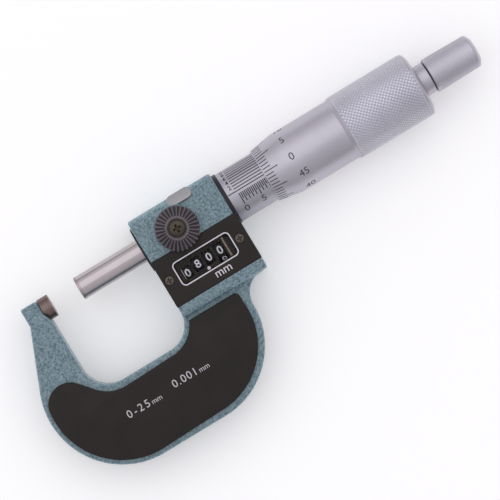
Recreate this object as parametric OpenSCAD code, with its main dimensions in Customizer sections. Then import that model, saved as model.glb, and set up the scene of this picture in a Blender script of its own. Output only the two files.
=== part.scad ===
// Outside micrometer, 0 to 25 mm, with a mechanical digit counter in the frame.
// X runs along the spindle from the anvil to the ratchet, Y up the frame, Z out of its front.
// The origin is the centre of the anvil's measuring face. The tool lies on its back.

/* [Measuring] */
// Gap between the measuring faces as drawn
opening = 8.0; // [6:0.5:10]
// Radius of the spindle and the anvil
spindle_r = 3.175; // [3:0.025:3.25]
// Radius of the screw thread, drawn as a plain cylinder
thread_r = 3.12; // [3:0.01:3.15]
// Thickness of the hard facing on each measuring face
tip_t = 0.8; // [0.5:0.1:1.2]

/* [Frame] */
// Half thickness of the C-shaped web
web_half = 4.5; // [4:0.1:5]
// Outer face of the anvil arm
arm_x0 = -7.65; // [-8:0.05:-7]
// Inner face of the anvil arm, the left side of the throat
throat_x0 = -2.05; // [-2.2:0.05:-2]
// Right side of the throat
throat_x1 = 27.6; // [27:0.1:27.6]
// Bottom of the throat
throat_y = -25.85; // [-27:0.05:-25]
// Radius of the throat's two lower corners
throat_r = 7.7; // [7:0.1:8]
// Radius of the bow on the anvil side
bow_left_r = 21.4; // [21:0.1:22]
// Radius of the bow on the spindle side
bow_right_r = 21.0; // [20.8:0.1:21.2]
// Lowest point of the bow
bow_bottom = -47.6; // [-48:0.1:-47]
// Slope of the anvil arm's outer side from upright
arm_slope = 22.8; // [22:0.1:24]

/* [Counter housing] */
// Left side of the housing
block_x0 = 27.6; // [27.5:0.05:27.8]
// Right side of its upper part
block_x1 = 52.1; // [52:0.05:52.2]
// How far its lower part reaches further right
block_step = 0.5; // [0.3:0.1:0.6]
// Top face
block_top = 8.0; // [8:0.1:8.2]
// Lower ledge
block_bottom = -20.4; // [-21:0.1:-20]
// Front face
block_front = 8.0; // [8:0.1:8.4]
// Flat back, which the tool rests on
block_back = -9.0; // [-9.2:0.1:-9]
// Rounding of the long upper edges
block_round = 2.5; // [2:0.1:2.8]
// Upper edge of the cover
cover_top = -4.1; // [-4.2:0.05:-4]
// Lower edge of the cover
cover_bottom = -17.45; // [-17.6:0.05:-17.3]
// Seat that the cover lies on
seat_z = 6.8; // [6.8:0.05:6.9]

/* [Sleeve and thimble] */
// Outer radius of the graduated sleeve
sleeve_r = 7.0; // [6.9:0.05:7.05]
// Rear end of the graduated sleeve
sleeve_x1 = 84; // [83:0.5:84]
// Front edge of the thimble at 8 mm opening
thimble_x0 = 64.05; // [64:0.05:64.1]
// Radius of the thimble's front edge
thimble_lip_r = 7.35; // [7.3:0.05:7.4]
// Radius of its plain barrel
barrel_r = 8.5; // [8.4:0.05:8.6]
// Radius over the knurl
knurl_r = 9.0; // [8.9:0.05:9]
// Front end of the plain barrel
barrel_x0 = 70.45; // [70:0.05:71]
// Front end of the knurl
knurl_x0 = 87.75; // [87:0.05:88]
// Rear end of the knurl
knurl_x1 = 110.65; // [110:0.05:111]

/* [Ratchet] */
// Radius of the neck between thimble and ratchet knob
neck_r = 4.25; // [4.2:0.05:4.3]
// Front end of the ratchet knob
ratchet_x0 = 113.9; // [113.85:0.05:114]
// Rear end of the ratchet knob
ratchet_x1 = 127.55; // [127:0.05:128]
// Radius of the ratchet knob at its front
ratchet_r0 = 4.75; // [4.7:0.05:4.8]
// Radius of the ratchet knob at its rear
ratchet_r1 = 4.5; // [4.4:0.05:4.6]

/* [Spindle lock] */
// Place of the lock along the spindle
lock_x = 37.95; // [37.5:0.05:38.2]
// Radius of the lock knob
lock_r = 5.95; // [5.7:0.05:6]

/* [Counter] */
// Tooth module of the gears
gear_m = 0.3; // [0.3:0.01:0.3]
// Tooth module of the carry gears between the number wheels
carry_m = 0.4; // [0.38:0.01:0.4]
// Height of the counter shaft along Y
counter_y = -10; // [-10.2:0.1:-9.8]
// Height of the counter shaft along Z
counter_z = 1.5; // [1.4:0.1:1.6]
// Radius of a number wheel
wheel_r = 4.9; // [4.8:0.05:4.95]
// Width of a number wheel
wheel_w = 2.3; // [2.2:0.05:2.4]

/* [Hidden] */
$fn = 96;
eps = 0.01;
run = 0.03;    // running clearance between a shaft and its hole
fit = 0.01;    // clearance of parts that are pressed or screwed together
loose = 0.12;  // play where a shaft passes without being guided
far = 60;      // well past the housing

// colours
paint = [0.42, 0.49, 0.53];
black = [0.2, 0.19, 0.18];
chrome = [0.75, 0.74, 0.78];
steel = [0.55, 0.54, 0.55];
brass = [0.72, 0.58, 0.32];
wheel_black = [0.12, 0.12, 0.12];

// frame outline
arm_top = 3.0;
bow_left = [5.4, bow_bottom + bow_left_r];
bow_right = [23.5, bow_bottom + bow_right_r];
arm_dir = [sin(arm_slope), cos(arm_slope)];
arm_tangent = bow_left + bow_left_r * [-cos(arm_slope), sin(arm_slope)];
arm_bend = arm_tangent + arm_dir * (arm_x0 - arm_tangent[0]) / arm_dir[0];
fillet_r = 6.4;
fillet_at = [bow_right[0] + bow_right_r + fillet_r, block_bottom - fillet_r];

// anvil
anvil_x0 = -7.0;
anvil_shoulder = -3.1;
anvil_shank_r = 2.4;

// plug on the housing's upper edge
plug_x = 42.45;
plug_size = [7.0, 3.3];
plug_corner = 1.4;
plug_sunk = 1.3;
plug_t = 1.5;
plug_lean = 30;

// housing bores along X
gear_x0 = 48.5;
gear_x1 = 50.3;
gear_bore_r = 6.5;
gear_bore_x0 = 48.2;
flange_x0 = 51.0;
ring_x1 = 53.15;
ring_r = 7.2;
seal_t = 0.6;
seal_r = 6.3;
inner_r = 6.15;
bush_r = 4.4;
bush_x1 = 33.6;
lock_bore_r = 2.3;

// drive
counter = [counter_y, counter_z];
drive_t = 40;
pinion_t = 12;
idler_t = 24;
counter_t = 16;
order_t = 20;
carry_t = 8;
train_a = gear_m * (drive_t + pinion_t) / 2;
train_b = gear_m * (idler_t + counter_t) / 2;
centre_d = norm(counter);
// the idler arbor is where the two centre distances meet, behind the counter shaft
along = (train_a * train_a - train_b * train_b + centre_d * centre_d) / (2 * centre_d);
across = sqrt(train_a * train_a - along * along);
to_counter = counter / centre_d;
idler = along * to_counter - across * [to_counter[1], -to_counter[0]];
carry_d = carry_m * (order_t + carry_t) / 2;
carry_angle = 240;
carry = counter + carry_d * [cos(carry_angle), sin(carry_angle)];

// counter places along X
wheel_x = [34.25, 37.6, 40.95, 44.3];
count_gear_x0 = 45.95;
count_gear_x1 = 46.4;
pocket_x0 = 30.2;
pocket_x1 = 47.7;
pocket_top = -4.8;
pocket_bottom = -15.2;
pocket_floor = -5.7;
cheek_left = [30.3, 31.3];
cheek_right = [47.0, 47.6];
shaft_r = 0.75;
arbor_r = 0.55;
carry_shaft_r = 0.45;
arbor_x0 = 44.6;
arbor_x1 = 52.55;
idler_room_x = [45.7, 47.05];
idler_room_r = 4.2;
idler_hub_r = 1.2;
pinion_room_r = 2.4;
cheek_y = [-14.9, -5];
cheek_z0 = -1.8;
foot_y1 = -9.6;
foot_z = [-4.7, -1.7];
disc_r = 3.4;
screw_at = [[29.3, -10.4], [50.25, -10.4]];
screw_r = 0.7;
screw_z0 = 2;
head_r = 1.2;
head_z = [7.42, 8.15];

// window in the cover: lower left corner and size
window_at = [32.0, -13.4];
window_size = [16.05, 6.05];
cover_z1 = 8.1;
mask_z1 = 7.1;
mask_lip = 0.55;
digit_slot_y = [-12.2, -8.5];
tens_slot_y = [-12.45, -9.35];   // the tens wheel stands a little below the others
last_slot_y = [-13.35, -8.4];    // the last wheel also shows the next digit coming
blade_x = [46.05, 46.55];        // a blade of the bracket that shows in a slit of the mask
blade_y = [-13.1, -7.75];
blade_z = 6.2;

// rotary phases, so that every pair of gears meets tooth to gap
drive_phase = atan2(idler[1], idler[0]);
pinion_phase = drive_phase + 180 + 180 / pinion_t;
idler_phase = atan2(counter[1] - idler[1], counter[0] - idler[0]);
counter_phase = idler_phase + 180 + 180 / counter_t;
carry_phase = carry_angle + 180 + 180 / carry_t;

// spindle, key and thread
key_x = [53.6, 54.4];
keyway_x = [36.5, 62.6];
keyway_floor = 2.55;
key_w = 0.9;
hub_x1 = 55.2;
hub_r = 4.3;
thread_x0 = 62.8;
nut_x0 = 80;
nut_x1 = 92;
nut_outer_r = 5.0;
lock_nut_x = [87, 90.5];
lock_nut_r = 6.6;
taper_x0 = 104;
taper_x1 = 109.5;
taper_r0 = 3.1;
taper_r1 = 2.5;
thimble_lip_bore = 7.15;
thimble_bore = 7.6;

// ratchet
stud_x0 = 101.2;
stud_thread_r = 1.3;
stud_collar_r = 2.1;
collar_bore = 2.2;
neck_x1 = 113.7;
stud_r = 1.6;
stud_flat = 1.35;
stud_x1 = 124.05;
clutch_x0 = 117.6;
clutch_x1 = 119.2;
click_h = 0.4;
click_n = 12;
click_r = [2.3, 3.3];
clutch_r = 3.5;
shell_bore = 3.7;
end_bore = 3.0;
web_x0 = 120.2;
web_x1 = 124.0;
end_screw_r = 0.8;
end_head_r = 2.5;

// lock
boss_r = 6.2;
boss_z = 8.7;
knob_z0 = 9.0;
knob_z1 = 11.9;
recess_r = 2.6;
recess_z = 10.7;
stem_r = 1.2;
pad_r = 2.2;
pad_z0 = 2.5;
pad_z1 = 5.0;
lock_bush_z0 = 5.2;
lock_screw_r = 0.7;
lock_head_r = 2.15;
pad_lift = 0.13;

// ---------- helpers ----------

// children drawn in the plane across the spindle: local x is Y, local y is Z, local z is X
module across_x(x0, at = [0, 0]) {
    translate([x0, at[0], at[1]]) rotate([90, 0, 90]) children();
}

module rod_x(x0, x1, r, at = [0, 0]) {
    across_x(x0, at) cylinder(h = x1 - x0, r = r);
}

module tube_x(x0, x1, r_out, r_in, at = [0, 0]) {
    difference() {
        rod_x(x0, x1, r_out, at);
        rod_x(x0 - 1, x1 + 1, r_in, at);
    }
}

// a turned piece about the spindle axis, from points [x, radius]
module turned_x(points) {
    rotate([90, 0, 90]) rotate_extrude() polygon([for (p = points) [p[1], p[0]]]);
}

// spur gear outline with straight flanks and some backlash
function gear_points(m, teeth, phase) = [
    for (i = [0 : teeth - 1])
    for (c = [[-0.33, -1.25], [-0.09, 1], [0.09, 1], [0.33, -1.25]])
    let (a = phase + (i + c[0]) * 360 / teeth, r = m * teeth / 2 + c[1] * m)
    r * [cos(a), sin(a)]
];

module gear_x(x0, x1, m, teeth, phase, bore, at = [0, 0]) {
    difference() {
        across_x(x0, at) linear_extrude(x1 - x0) polygon(gear_points(m, teeth, phase));
        rod_x(x0 - 1, x1 + 1, bore, at);
    }
}

module rounded_rect(at, size, r) {
    translate(at + [r, 0]) square(size - [2 * r, 0]);
    translate(at + [0, r]) square(size - [0, 2 * r]);
    for (x = [r, size[0] - r], y = [r, size[1] - r]) translate(at + [x, y]) circle(r);
}

// cross recess for a screwdriver, cut down from z = 0
module cross_recess(reach, w, depth) {
    for (a = [0, 90]) rotate(a) translate([-reach, -w / 2, -depth]) cube([2 * reach, w, depth + 1]);
}

// ---------- frame ----------

module throat_2d() {
    centre_y = throat_y + throat_r;
    for (x = [throat_x0 + throat_r, throat_x1 - throat_r]) translate([x, centre_y]) circle(throat_r);
    translate([throat_x0, centre_y]) square([throat_x1 - throat_x0, 40]);
    translate([throat_x0 + throat_r, throat_y]) square([throat_x1 - throat_x0 - 2 * throat_r, 10]);
    // shoulder of the arm around the anvil
    polygon([
        [anvil_shoulder, 20], [anvil_shoulder, -0.8], [-2.8, -1.6], [-2.35, -2.5],
        [throat_x0, -3.6], [5, -3.6], [5, 20]
    ]);
}

module web_2d() {
    difference() {
        union() {
            translate(bow_left) circle(bow_left_r);
            translate(bow_right) circle(bow_right_r);
            polygon([
                [arm_x0, arm_top], [arm_x0, arm_bend[1] + 1.2], arm_bend + [-0.05, -0.1],
                arm_bend - 1.2 * arm_dir, arm_tangent, bow_left, [bow_left[0], bow_bottom],
                [bow_right[0], bow_bottom], bow_right, [bow_right[0] + bow_right_r, bow_right[1]],
                fillet_at, [fillet_at[0], block_bottom], [fillet_at[0], block_bottom + 2],
                [block_x0 + 1, block_bottom + 2], [block_x0 + 1, arm_top]
            ]);
        }
        throat_2d();
        translate(fillet_at) circle(fillet_r);
        translate([block_x0, block_bottom + 1]) square([40, 40]);
    }
}

// section of the counter housing across the spindle, local x is Y and local y is Z
module block_2d() {
    r = block_round;
    high = block_top - block_bottom;
    deep = block_front - block_back;
    translate([block_bottom, block_back]) square([high - r, deep]);
    translate([block_bottom, block_back + r]) square([high, deep - 2 * r]);
    for (z = [block_back + r, block_front - r]) translate([block_top - r, z]) circle(r);
}

module plug_outline(grow) {
    size = plug_size + 2 * grow * [1, 1];
    rounded_rect(-size / 2, size, plug_corner);
}

// plug's own plane: on the rounded edge, leaning out of the front
module on_plug() {
    centre = block_round * [sin(plug_lean), cos(plug_lean)];
    translate([plug_x, block_top - block_round + centre[0], block_front - block_round + centre[1]])
        rotate([-plug_lean, 0, 0]) children();
}

module frame() {
    color(paint) difference() {
        union() {
            translate([0, 0, -web_half]) linear_extrude(2 * web_half) web_2d();
            across_x(block_x0) linear_extrude(block_x1 - block_x0) block_2d();
            across_x(block_x0) linear_extrude(block_x1 + block_step - block_x0) intersection() {
                block_2d();
                translate([block_bottom - 1, block_back - 1]) square([cover_top - block_bottom + 1, 30]);
            }
            // boss under the lock knob
            intersection() {
                translate([lock_x, 0, 0]) cylinder(h = boss_z, r = boss_r);
                translate([block_x0, cover_top + 0.05, block_front - 1]) cube([30, 20, 5]);
            }
        }
        // seat of the cover
        translate([block_x0 - 1, cover_bottom, seat_z]) cube([40, cover_top - cover_bottom, 5]);
        // pocket of the counter
        translate([pocket_x0, pocket_bottom, pocket_floor])
            cube([pocket_x1 - pocket_x0, pocket_top - pocket_bottom, 20]);
        rod_x(idler_room_x[0], idler_room_x[1], idler_room_r, idler);
        rod_x(idler_room_x[0], gear_bore_x0 + 0.1, idler_hub_r + 0.15, idler);
        rod_x(gear_bore_x0, flange_x0, pinion_room_r, idler);
        rod_x(arbor_x0 - fit, far, arbor_r + fit, idler);
        // bores along the spindle
        rod_x(block_x0 - 1, bush_x1, bush_r + fit);
        rod_x(bush_x1 - 1, gear_bore_x0 + 1, spindle_r + loose);
        rod_x(gear_bore_x0, far, gear_bore_r);
        rod_x(block_x1, far, ring_r + 0.05);
        // lock, screws, plug and anvil
        translate([lock_x, 0, 0]) cylinder(h = 20, r = lock_bore_r);
        for (p = screw_at) translate([p[0], p[1], screw_z0 - 0.5]) cylinder(h = 10, r = screw_r + fit);
        on_plug() translate([0, 0, -plug_sunk]) linear_extrude(5) plug_outline(fit);
        rod_x(anvil_x0 - fit, 0, anvil_shank_r + fit);
        rod_x(anvil_shoulder, 1, spindle_r + 0.05);
    }
}

module anvil() {
    color(chrome) union() {
        rod_x(anvil_x0, anvil_shoulder + 0.1, anvil_shank_r);
        rod_x(anvil_shoulder, -tip_t, spindle_r);
    }
}

module anvil_tip() {
    color(steel) rod_x(-tip_t, 0, spindle_r);
}

// ---------- grip plates ----------

grip_t = 1.0;
grip_left_r = 20.15;
grip_right_r = 19.2;
grip_top = -21.7;
grip_right = 42.6;
lobe = [-9.0, -24.4];
lobe_r = 5.7;
hollow_left = [5.55, -18.15];
hollow_left_r = 9.5;
hollow_right = [19.8, -18.15];
hollow_right_r = 9.1;
// the straight stretch between lobe and hollow touches both circles
span = hollow_left - lobe;
touch = atan2(span[1], span[0]) + acos((lobe_r + hollow_left_r) / norm(span));
touch_dir = [cos(touch), sin(touch)];

module disc(at, r) {
    translate([at[0], at[1], 0]) cylinder(h = grip_t, r = r);
}

module slab(points) {
    linear_extrude(grip_t) polygon(points);
}

module grip_plate() {
    corner = 1.3;
    inner = grip_right - corner;
    difference() {
        intersection() {
            union() {
                disc(bow_left, grip_left_r);
                disc(bow_right, grip_right_r);
                slab([bow_left, bow_left - [0, grip_left_r], bow_right - [0, grip_right_r], bow_right]);
                slab([
                    bow_right, [grip_right, bow_right[1]], [grip_right, grip_top], [bow_right[0], grip_top]
                ]);
            }
            union() {
                slab([[-30, -60], [60, -60], [60, lobe[1] - 1], [-30, lobe[1] - 1]]);
                disc(lobe, lobe_r);
                slab([
                    lobe, lobe + (lobe_r - 0.02) * touch_dir,
                    hollow_left - (hollow_left_r - 0.02) * touch_dir, hollow_left - [0, 10], lobe - [0, 3]
                ]);
                slab([
                    [hollow_right[0], -30], [grip_right, -30], [grip_right, grip_top - corner],
                    [inner, grip_top - corner], [inner, grip_top], [hollow_right[0], grip_top]
                ]);
                disc([inner, grip_top - corner], corner);
            }
        }
        translate([0, 0, -1]) {
            translate(hollow_left) cylinder(h = 3, r = hollow_left_r);
            translate(hollow_right) cylinder(h = 3, r = hollow_right_r);
            linear_extrude(3) polygon([hollow_left, hollow_left - [0, hollow_left_r],
                                       hollow_right - [0, hollow_right_r], hollow_right]);
        }
    }
}

module front_grip_plate() {
    color(black) translate([0, 0, web_half]) grip_plate();
}

module rear_grip_plate() {
    color(black) translate([0, 0, -web_half - grip_t]) grip_plate();
}

// ---------- counter housing pieces ----------

module counter_cover() {
    x0 = block_x0 - 0.15;
    x1 = block_x1 + block_step + 0.05;
    color(black) difference() {
        translate([x0, cover_bottom + 0.05, seat_z])
            cube([x1 - x0, cover_top - cover_bottom - 0.1, cover_z1 - seat_z]);
        linear_extrude(20) rounded_rect(window_at, window_size, 1.0);
        linear_extrude(mask_z1)
            rounded_rect(window_at - mask_lip * [1, 1], window_size + 2 * mask_lip * [1, 1], 0.5);
        for (p = screw_at) translate([p[0], p[1], 0]) {
            cylinder(h = 20, r = screw_r + 0.1);
            translate([0, 0, head_z[0] - 0.02]) cylinder(h = 2, r = head_r + 0.05);
        }
    }
}

module counter_window() {
    color([0.8, 0.85, 0.9, 0.4]) translate([0, 0, mask_z1]) linear_extrude(cover_z1 - 0.1 - mask_z1)
        rounded_rect(window_at + 0.02 * [1, 1], window_size - 0.04 * [1, 1], 1.0);
}

module digit_mask() {
    half_w = wheel_w / 2 + 0.1;
    lip = (mask_lip - 0.02) * [1, 1];
    color(wheel_black) difference() {
        translate([0, 0, seat_z]) linear_extrude(mask_z1 - seat_z)
            rounded_rect(window_at - lip, window_size + 2 * lip, 0.5);
        for (i = [0 : 3]) let (y = [tens_slot_y, digit_slot_y, digit_slot_y, last_slot_y][i])
            translate([wheel_x[i] - half_w, y[0], 0]) cube([2 * half_w, y[1] - y[0], 20]);
        translate([blade_x[0] - fit, blade_y[0] - fit, 0])
            cube([blade_x[1] - blade_x[0] + 2 * fit, blade_y[1] - blade_y[0] + 2 * fit, 20]);
    }
}

module cover_screws() {
    color(black) for (p = screw_at) translate([p[0], p[1], 0]) difference() {
        union() {
            translate([0, 0, screw_z0]) cylinder(h = 6, r = screw_r);
            translate([0, 0, head_z[0]]) cylinder(h = head_z[1] - head_z[0], r = head_r);
        }
        translate([0, 0, head_z[1]]) cross_recess(0.75, 0.28, 0.5);
    }
}

module spindle_seal_ring() {
    color(black) tube_x(block_x0 - seal_t, block_x0, seal_r, spindle_r + 0.08);
}

module sleeve_shoulder_ring() {
    color(black) tube_x(block_x1, ring_x1, ring_r, gear_bore_r);
}

module top_plug() {
    color(chrome) on_plug() translate([0, 0, -plug_sunk]) linear_extrude(plug_t) plug_outline(0);
}

module front_bush() {
    color(brass) tube_x(block_x0, bush_x1, bush_r, spindle_r + run);
}

// ---------- sleeve group ----------

module inner_sleeve() {
    color(steel) difference() {
        turned_x([
            [flange_x0, 0], [flange_x0, gear_bore_r - fit],
            [ring_x1, gear_bore_r - fit], [ring_x1, inner_r], [sleeve_x1, inner_r],
            [sleeve_x1, nut_outer_r], [nut_x1, nut_outer_r], [nut_x1, 0]
        ]);
        rod_x(flange_x0 - 1, hub_x1 + 0.3, hub_r + 0.06);
        rod_x(hub_x1, nut_x0, spindle_r + loose);
        rod_x(nut_x0 - 1, nut_x1 + 1, thread_r + run);
        // slots that let the nut be closed on the screw
        for (a = [0, 90]) rotate([a, 0, 0]) translate([86, -10, -0.25]) cube([10, 20, 0.5]);
    }
}

module adjusting_nut() {
    color(steel) tube_x(lock_nut_x[0], lock_nut_x[1], lock_nut_r, nut_outer_r + fit);
}

module graduated_sleeve() {
    color(chrome) tube_x(ring_x1, sleeve_x1, sleeve_r, inner_r + fit);
}

// ---------- counter train ----------

module counter_shaft() {
    color(steel) rod_x(cheek_left[0], cheek_right[1], shaft_r, counter);
}

module transfer_shaft() {
    color(steel) rod_x(cheek_left[0], cheek_right[1], carry_shaft_r, carry);
}

module idler_arbor() {
    color(steel) rod_x(arbor_x0, arbor_x1, arbor_r, idler);
}

module bracket_blade() {
    length = blade_y[1] - blade_y[0];
    translate([blade_x[0], blade_y[0], blade_z])
        cube([cheek_right[0] + eps - blade_x[0], length, seat_z - blade_z - fit]);
    translate([blade_x[0], blade_y[0], blade_z])
        cube([blade_x[1] - blade_x[0], length, mask_z1 - 0.05 - blade_z]);
}

module counter_bracket() {
    color(brass) bracket_blade();
    color(brass) for (x = [cheek_left, cheek_right]) difference() {
        union() {
            translate([x[0], cheek_y[0], cheek_z0])
                cube([x[1] - x[0], cheek_y[1] - cheek_y[0], seat_z - cheek_z0]);
            translate([x[0], cheek_y[0], foot_z[0]])
                cube([x[1] - x[0], foot_y1 - cheek_y[0], foot_z[1] - foot_z[0]]);
        }
        rod_x(x[0] - 1, x[1] + 1, shaft_r + fit, counter);
        rod_x(x[0] - 1, x[1] + 1, carry_shaft_r + fit, carry);
    }
}

// a number wheel: drum, gear of its own order on the right, carry disc on the left
module number_wheel(i) {
    x0 = wheel_x[i] - wheel_w / 2;
    x1 = wheel_x[i] + wheel_w / 2;
    left = i == 0 ? cheek_left[1] + 0.05 : x0 - 0.4;
    difference() {
        union() {
            rod_x(x0, x1, wheel_r, counter);
            rod_x(left, x0 + eps, i == 0 ? 1.4 : disc_r, counter);
            if (i < 3) {
                across_x(x1 - eps, counter) linear_extrude(0.45)
                    polygon(gear_points(carry_m, order_t, carry_angle));
            } else {
                rod_x(x1 - eps, count_gear_x0, idler_hub_r + 0.4, counter);
                rod_x(x1, cheek_right[0] - 0.05, idler_hub_r, counter);
            }
        }
        rod_x(left - 1, cheek_right[1], shaft_r + run, counter);
    }
}

module number_wheel_tens() {
    color(wheel_black) number_wheel(0);
}

module number_wheel_units() {
    color(wheel_black) number_wheel(1);
}

module number_wheel_tenths() {
    color(wheel_black) number_wheel(2);
}

module number_wheel_hundredths() {
    color(wheel_black) number_wheel(3);
}

module counter_gear() {
    bore = idler_hub_r + fit;
    color(brass) gear_x(count_gear_x0, count_gear_x1, gear_m, counter_t, counter_phase, bore, counter);
}

module transfer_pinion(i) {
    x0 = wheel_x[i] + wheel_w / 2 + 0.06;
    gear_x(x0, x0 + 0.88, carry_m, carry_t, carry_phase, carry_shaft_r + run, carry);
}

module transfer_pinion_1() {
    color(brass) transfer_pinion(0);
}

module transfer_pinion_2() {
    color(brass) transfer_pinion(1);
}

module transfer_pinion_3() {
    color(brass) transfer_pinion(2);
}

module idler_gear() {
    bore = idler_hub_r + fit;
    color(brass) gear_x(count_gear_x0, count_gear_x1, gear_m, idler_t, idler_phase, bore, idler);
}

module idler_pinion() {
    color(brass) difference() {
        union() {
            across_x(gear_x0, idler) linear_extrude(gear_x1 - gear_x0)
                polygon(gear_points(gear_m, pinion_t, pinion_phase));
            rod_x(count_gear_x0, gear_x0 + eps, idler_hub_r, idler);
        }
        rod_x(count_gear_x0 - 1, gear_x1 + 1, arbor_r + run, idler);
    }
}

module drive_gear() {
    color(brass) difference() {
        union() {
            across_x(gear_x0) linear_extrude(gear_x1 - gear_x0)
                polygon(gear_points(gear_m, drive_t, drive_phase));
            rod_x(gear_x0 + 0.1, hub_x1, hub_r);
        }
        rod_x(gear_x0 - 1, hub_x1 + 1, spindle_r + run);
        translate([key_x[0] - fit, -key_w / 2 - fit, -hub_r - 1])
            cube([key_x[1] - key_x[0] + 2 * fit, key_w + 2 * fit, hub_r]);
    }
}

module drive_key() {
    color(steel) translate([key_x[0], -key_w / 2, -hub_r + 0.1])
        cube([key_x[1] - key_x[0], key_w, hub_r - 0.1 - keyway_floor - 0.1]);
}

// ---------- spindle group ----------

module spindle() {
    color(chrome) difference() {
        turned_x([
            [opening + tip_t, 0], [opening + tip_t, spindle_r],
            [thread_x0, spindle_r], [thread_x0, thread_r], [taper_x0, thread_r],
            [taper_x0, taper_r0], [taper_x1, taper_r1], [taper_x1, 0]
        ]);
        translate([keyway_x[0], -key_w / 2 - 0.05, -spindle_r - 1])
            cube([keyway_x[1] - keyway_x[0], key_w + 0.1, spindle_r + 1 - keyway_floor]);
        rod_x(stud_x0 - 0.2, taper_x1 + 1, stud_thread_r + fit);
    }
}

module spindle_tip() {
    color(steel) rod_x(opening, opening + tip_t, spindle_r);
}

module thimble() {
    color(chrome) turned_x([
        [thimble_x0, thimble_lip_bore], [thimble_x0, thimble_lip_r], [barrel_x0, barrel_r],
        [knurl_x0, barrel_r], [knurl_x0 + 0.4, knurl_r], [knurl_x1 - 1.4, knurl_r],
        [knurl_x1 - 0.45, knurl_r - 0.45], [knurl_x1, knurl_r - 1.4],
        [knurl_x1, collar_bore], [taper_x1, collar_bore],
        [taper_x1, taper_r1 + fit], [taper_x0, taper_r0 + fit],
        [taper_x0, thimble_bore], [thimble_x0 + 2, thimble_bore], [thimble_x0 + 1.9, thimble_lip_bore]
    ]);
}

module ratchet_stud() {
    color(chrome) difference() {
        union() {
            rod_x(stud_x0, taper_x1 + 0.1, stud_thread_r);
            rod_x(taper_x1 + 0.05, knurl_x1 + eps, stud_collar_r);
            rod_x(knurl_x1, neck_x1, neck_r);
            rod_x(neck_x1 - eps, stud_x1, stud_r);
        }
        translate([neck_x1, stud_flat, -5]) cube([6.1, 5, 10]);
        rod_x(118.8, stud_x1 + 1, end_screw_r + fit);
    }
}

// drawn as tight as the clutch ring presses it
spring_turns = 4;
spring_steps = 18;
spring_r = 2.5;
spring_wire = 0.22;
spring_x = [neck_x1 + spring_wire + 0.03, clutch_x0 - click_h - spring_wire - 0.1];

function spring_at(t) = [
    spring_x[0] + t * (spring_x[1] - spring_x[0]),
    spring_r * cos(360 * spring_turns * t),
    spring_r * sin(360 * spring_turns * t)
];

module ratchet_spring() {
    n = spring_turns * spring_steps;
    sides = 8;
    ring = [for (i = [0 : n]) let (p = spring_at(i / n), a = 360 * spring_turns * i / n)
        for (j = [0 : sides - 1]) let (b = 360 * j / sides)
        p + spring_wire * [sin(b), cos(b) * cos(a), cos(b) * sin(a)]];
    faces = concat(
        [[for (j = [0 : sides - 1]) j]],
        [[for (j = [0 : sides - 1]) n * sides + sides - 1 - j]],
        [for (i = [0 : n - 1], j = [0 : sides - 1]) let (k = (j + 1) % sides)
            [i * sides + j, (i + 1) * sides + j, (i + 1) * sides + k, i * sides + k]]
    );
    color(steel) polyhedron(points = ring, faces = faces, convexity = 6);
}

module ratchet_screw() {
    color(steel) difference() {
        union() {
            rod_x(119, stud_x1 + 0.1, end_screw_r);
            rod_x(stud_x1 + 0.03, stud_x1 + 1.5, end_head_r);
        }
        translate([stud_x1 + 1.5, 0, 0]) rotate([0, 90, 0]) cross_recess(1.3, 0.5, 0.8);
    }
}

// one ring of saw teeth that stand up from z = 0
module click_teeth() {
    pitch = 360 / click_n;
    for (i = [0 : click_n - 1]) rotate(i * pitch) translate([click_r[0], 0, 0]) rotate([90, 0, 90])
        linear_extrude(click_r[1] - click_r[0]) polygon([[-0.45, -eps], [0.45, -eps], [-0.35, click_h]]);
}

module ratchet_clutch() {
    color(steel) difference() {
        union() {
            rod_x(clutch_x0, clutch_x1, clutch_r);
            across_x(clutch_x1) click_teeth();
        }
        difference() {
            rod_x(clutch_x0 - 1, clutch_x1 + 1, stud_r + run);
            translate([clutch_x0 - 2, stud_flat + run, -5]) cube([10, 5, 10]);
        }
    }
}

module ratchet_knob() {
    color(chrome) union() {
        turned_x([
            [ratchet_x0, shell_bore], [ratchet_x0, ratchet_r0 - 0.15], [ratchet_x0 + 0.15, ratchet_r0],
            [ratchet_x1 - 1.05, ratchet_r1], [ratchet_x1 - 0.65, ratchet_r1 - 0.35],
            [ratchet_x1, ratchet_r1 - 1.45], [ratchet_x1, end_bore], [web_x1, end_bore],
            [web_x1, stud_r + run], [web_x0, stud_r + run], [web_x0, shell_bore]
        ]);
        translate([web_x0, 0, 0]) rotate([0, -90, 0]) click_teeth();
    }
}

// ---------- spindle lock ----------

module lock_bush() {
    color(brass) translate([lock_x, 0, lock_bush_z0]) difference() {
        cylinder(h = boss_z + 0.1 - lock_bush_z0, r = lock_bore_r - fit);
        translate([0, 0, -1]) cylinder(h = 9, r = stem_r + run);
    }
}

module lock_pad() {
    color(brass) difference() {
        translate([lock_x, 0, pad_z0]) cylinder(h = pad_z1 - pad_z0, r = pad_r);
        rod_x(lock_x - 5, lock_x + 5, spindle_r + 0.005, [0, pad_lift]);
    }
}

module lock_stem() {
    color(steel) translate([lock_x, 0, 0]) difference() {
        translate([0, 0, pad_z1 + 0.02]) cylinder(h = recess_z - pad_z1 - 0.02, r = stem_r);
        translate([0, 0, 7.6]) cylinder(h = 5, r = lock_screw_r + fit);
    }
}

module lock_knob() {
    color(black) translate([lock_x, 0, 0]) rotate_extrude() polygon([
        [stem_r + fit, knob_z0], [lock_r - 0.35, knob_z0],
        [lock_r, knob_z0 + 0.35], [lock_r, knob_z0 + 1.35],
        [recess_r + 0.35, knob_z1], [recess_r, knob_z1], [recess_r, recess_z], [stem_r + fit, recess_z]
    ]);
}

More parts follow.
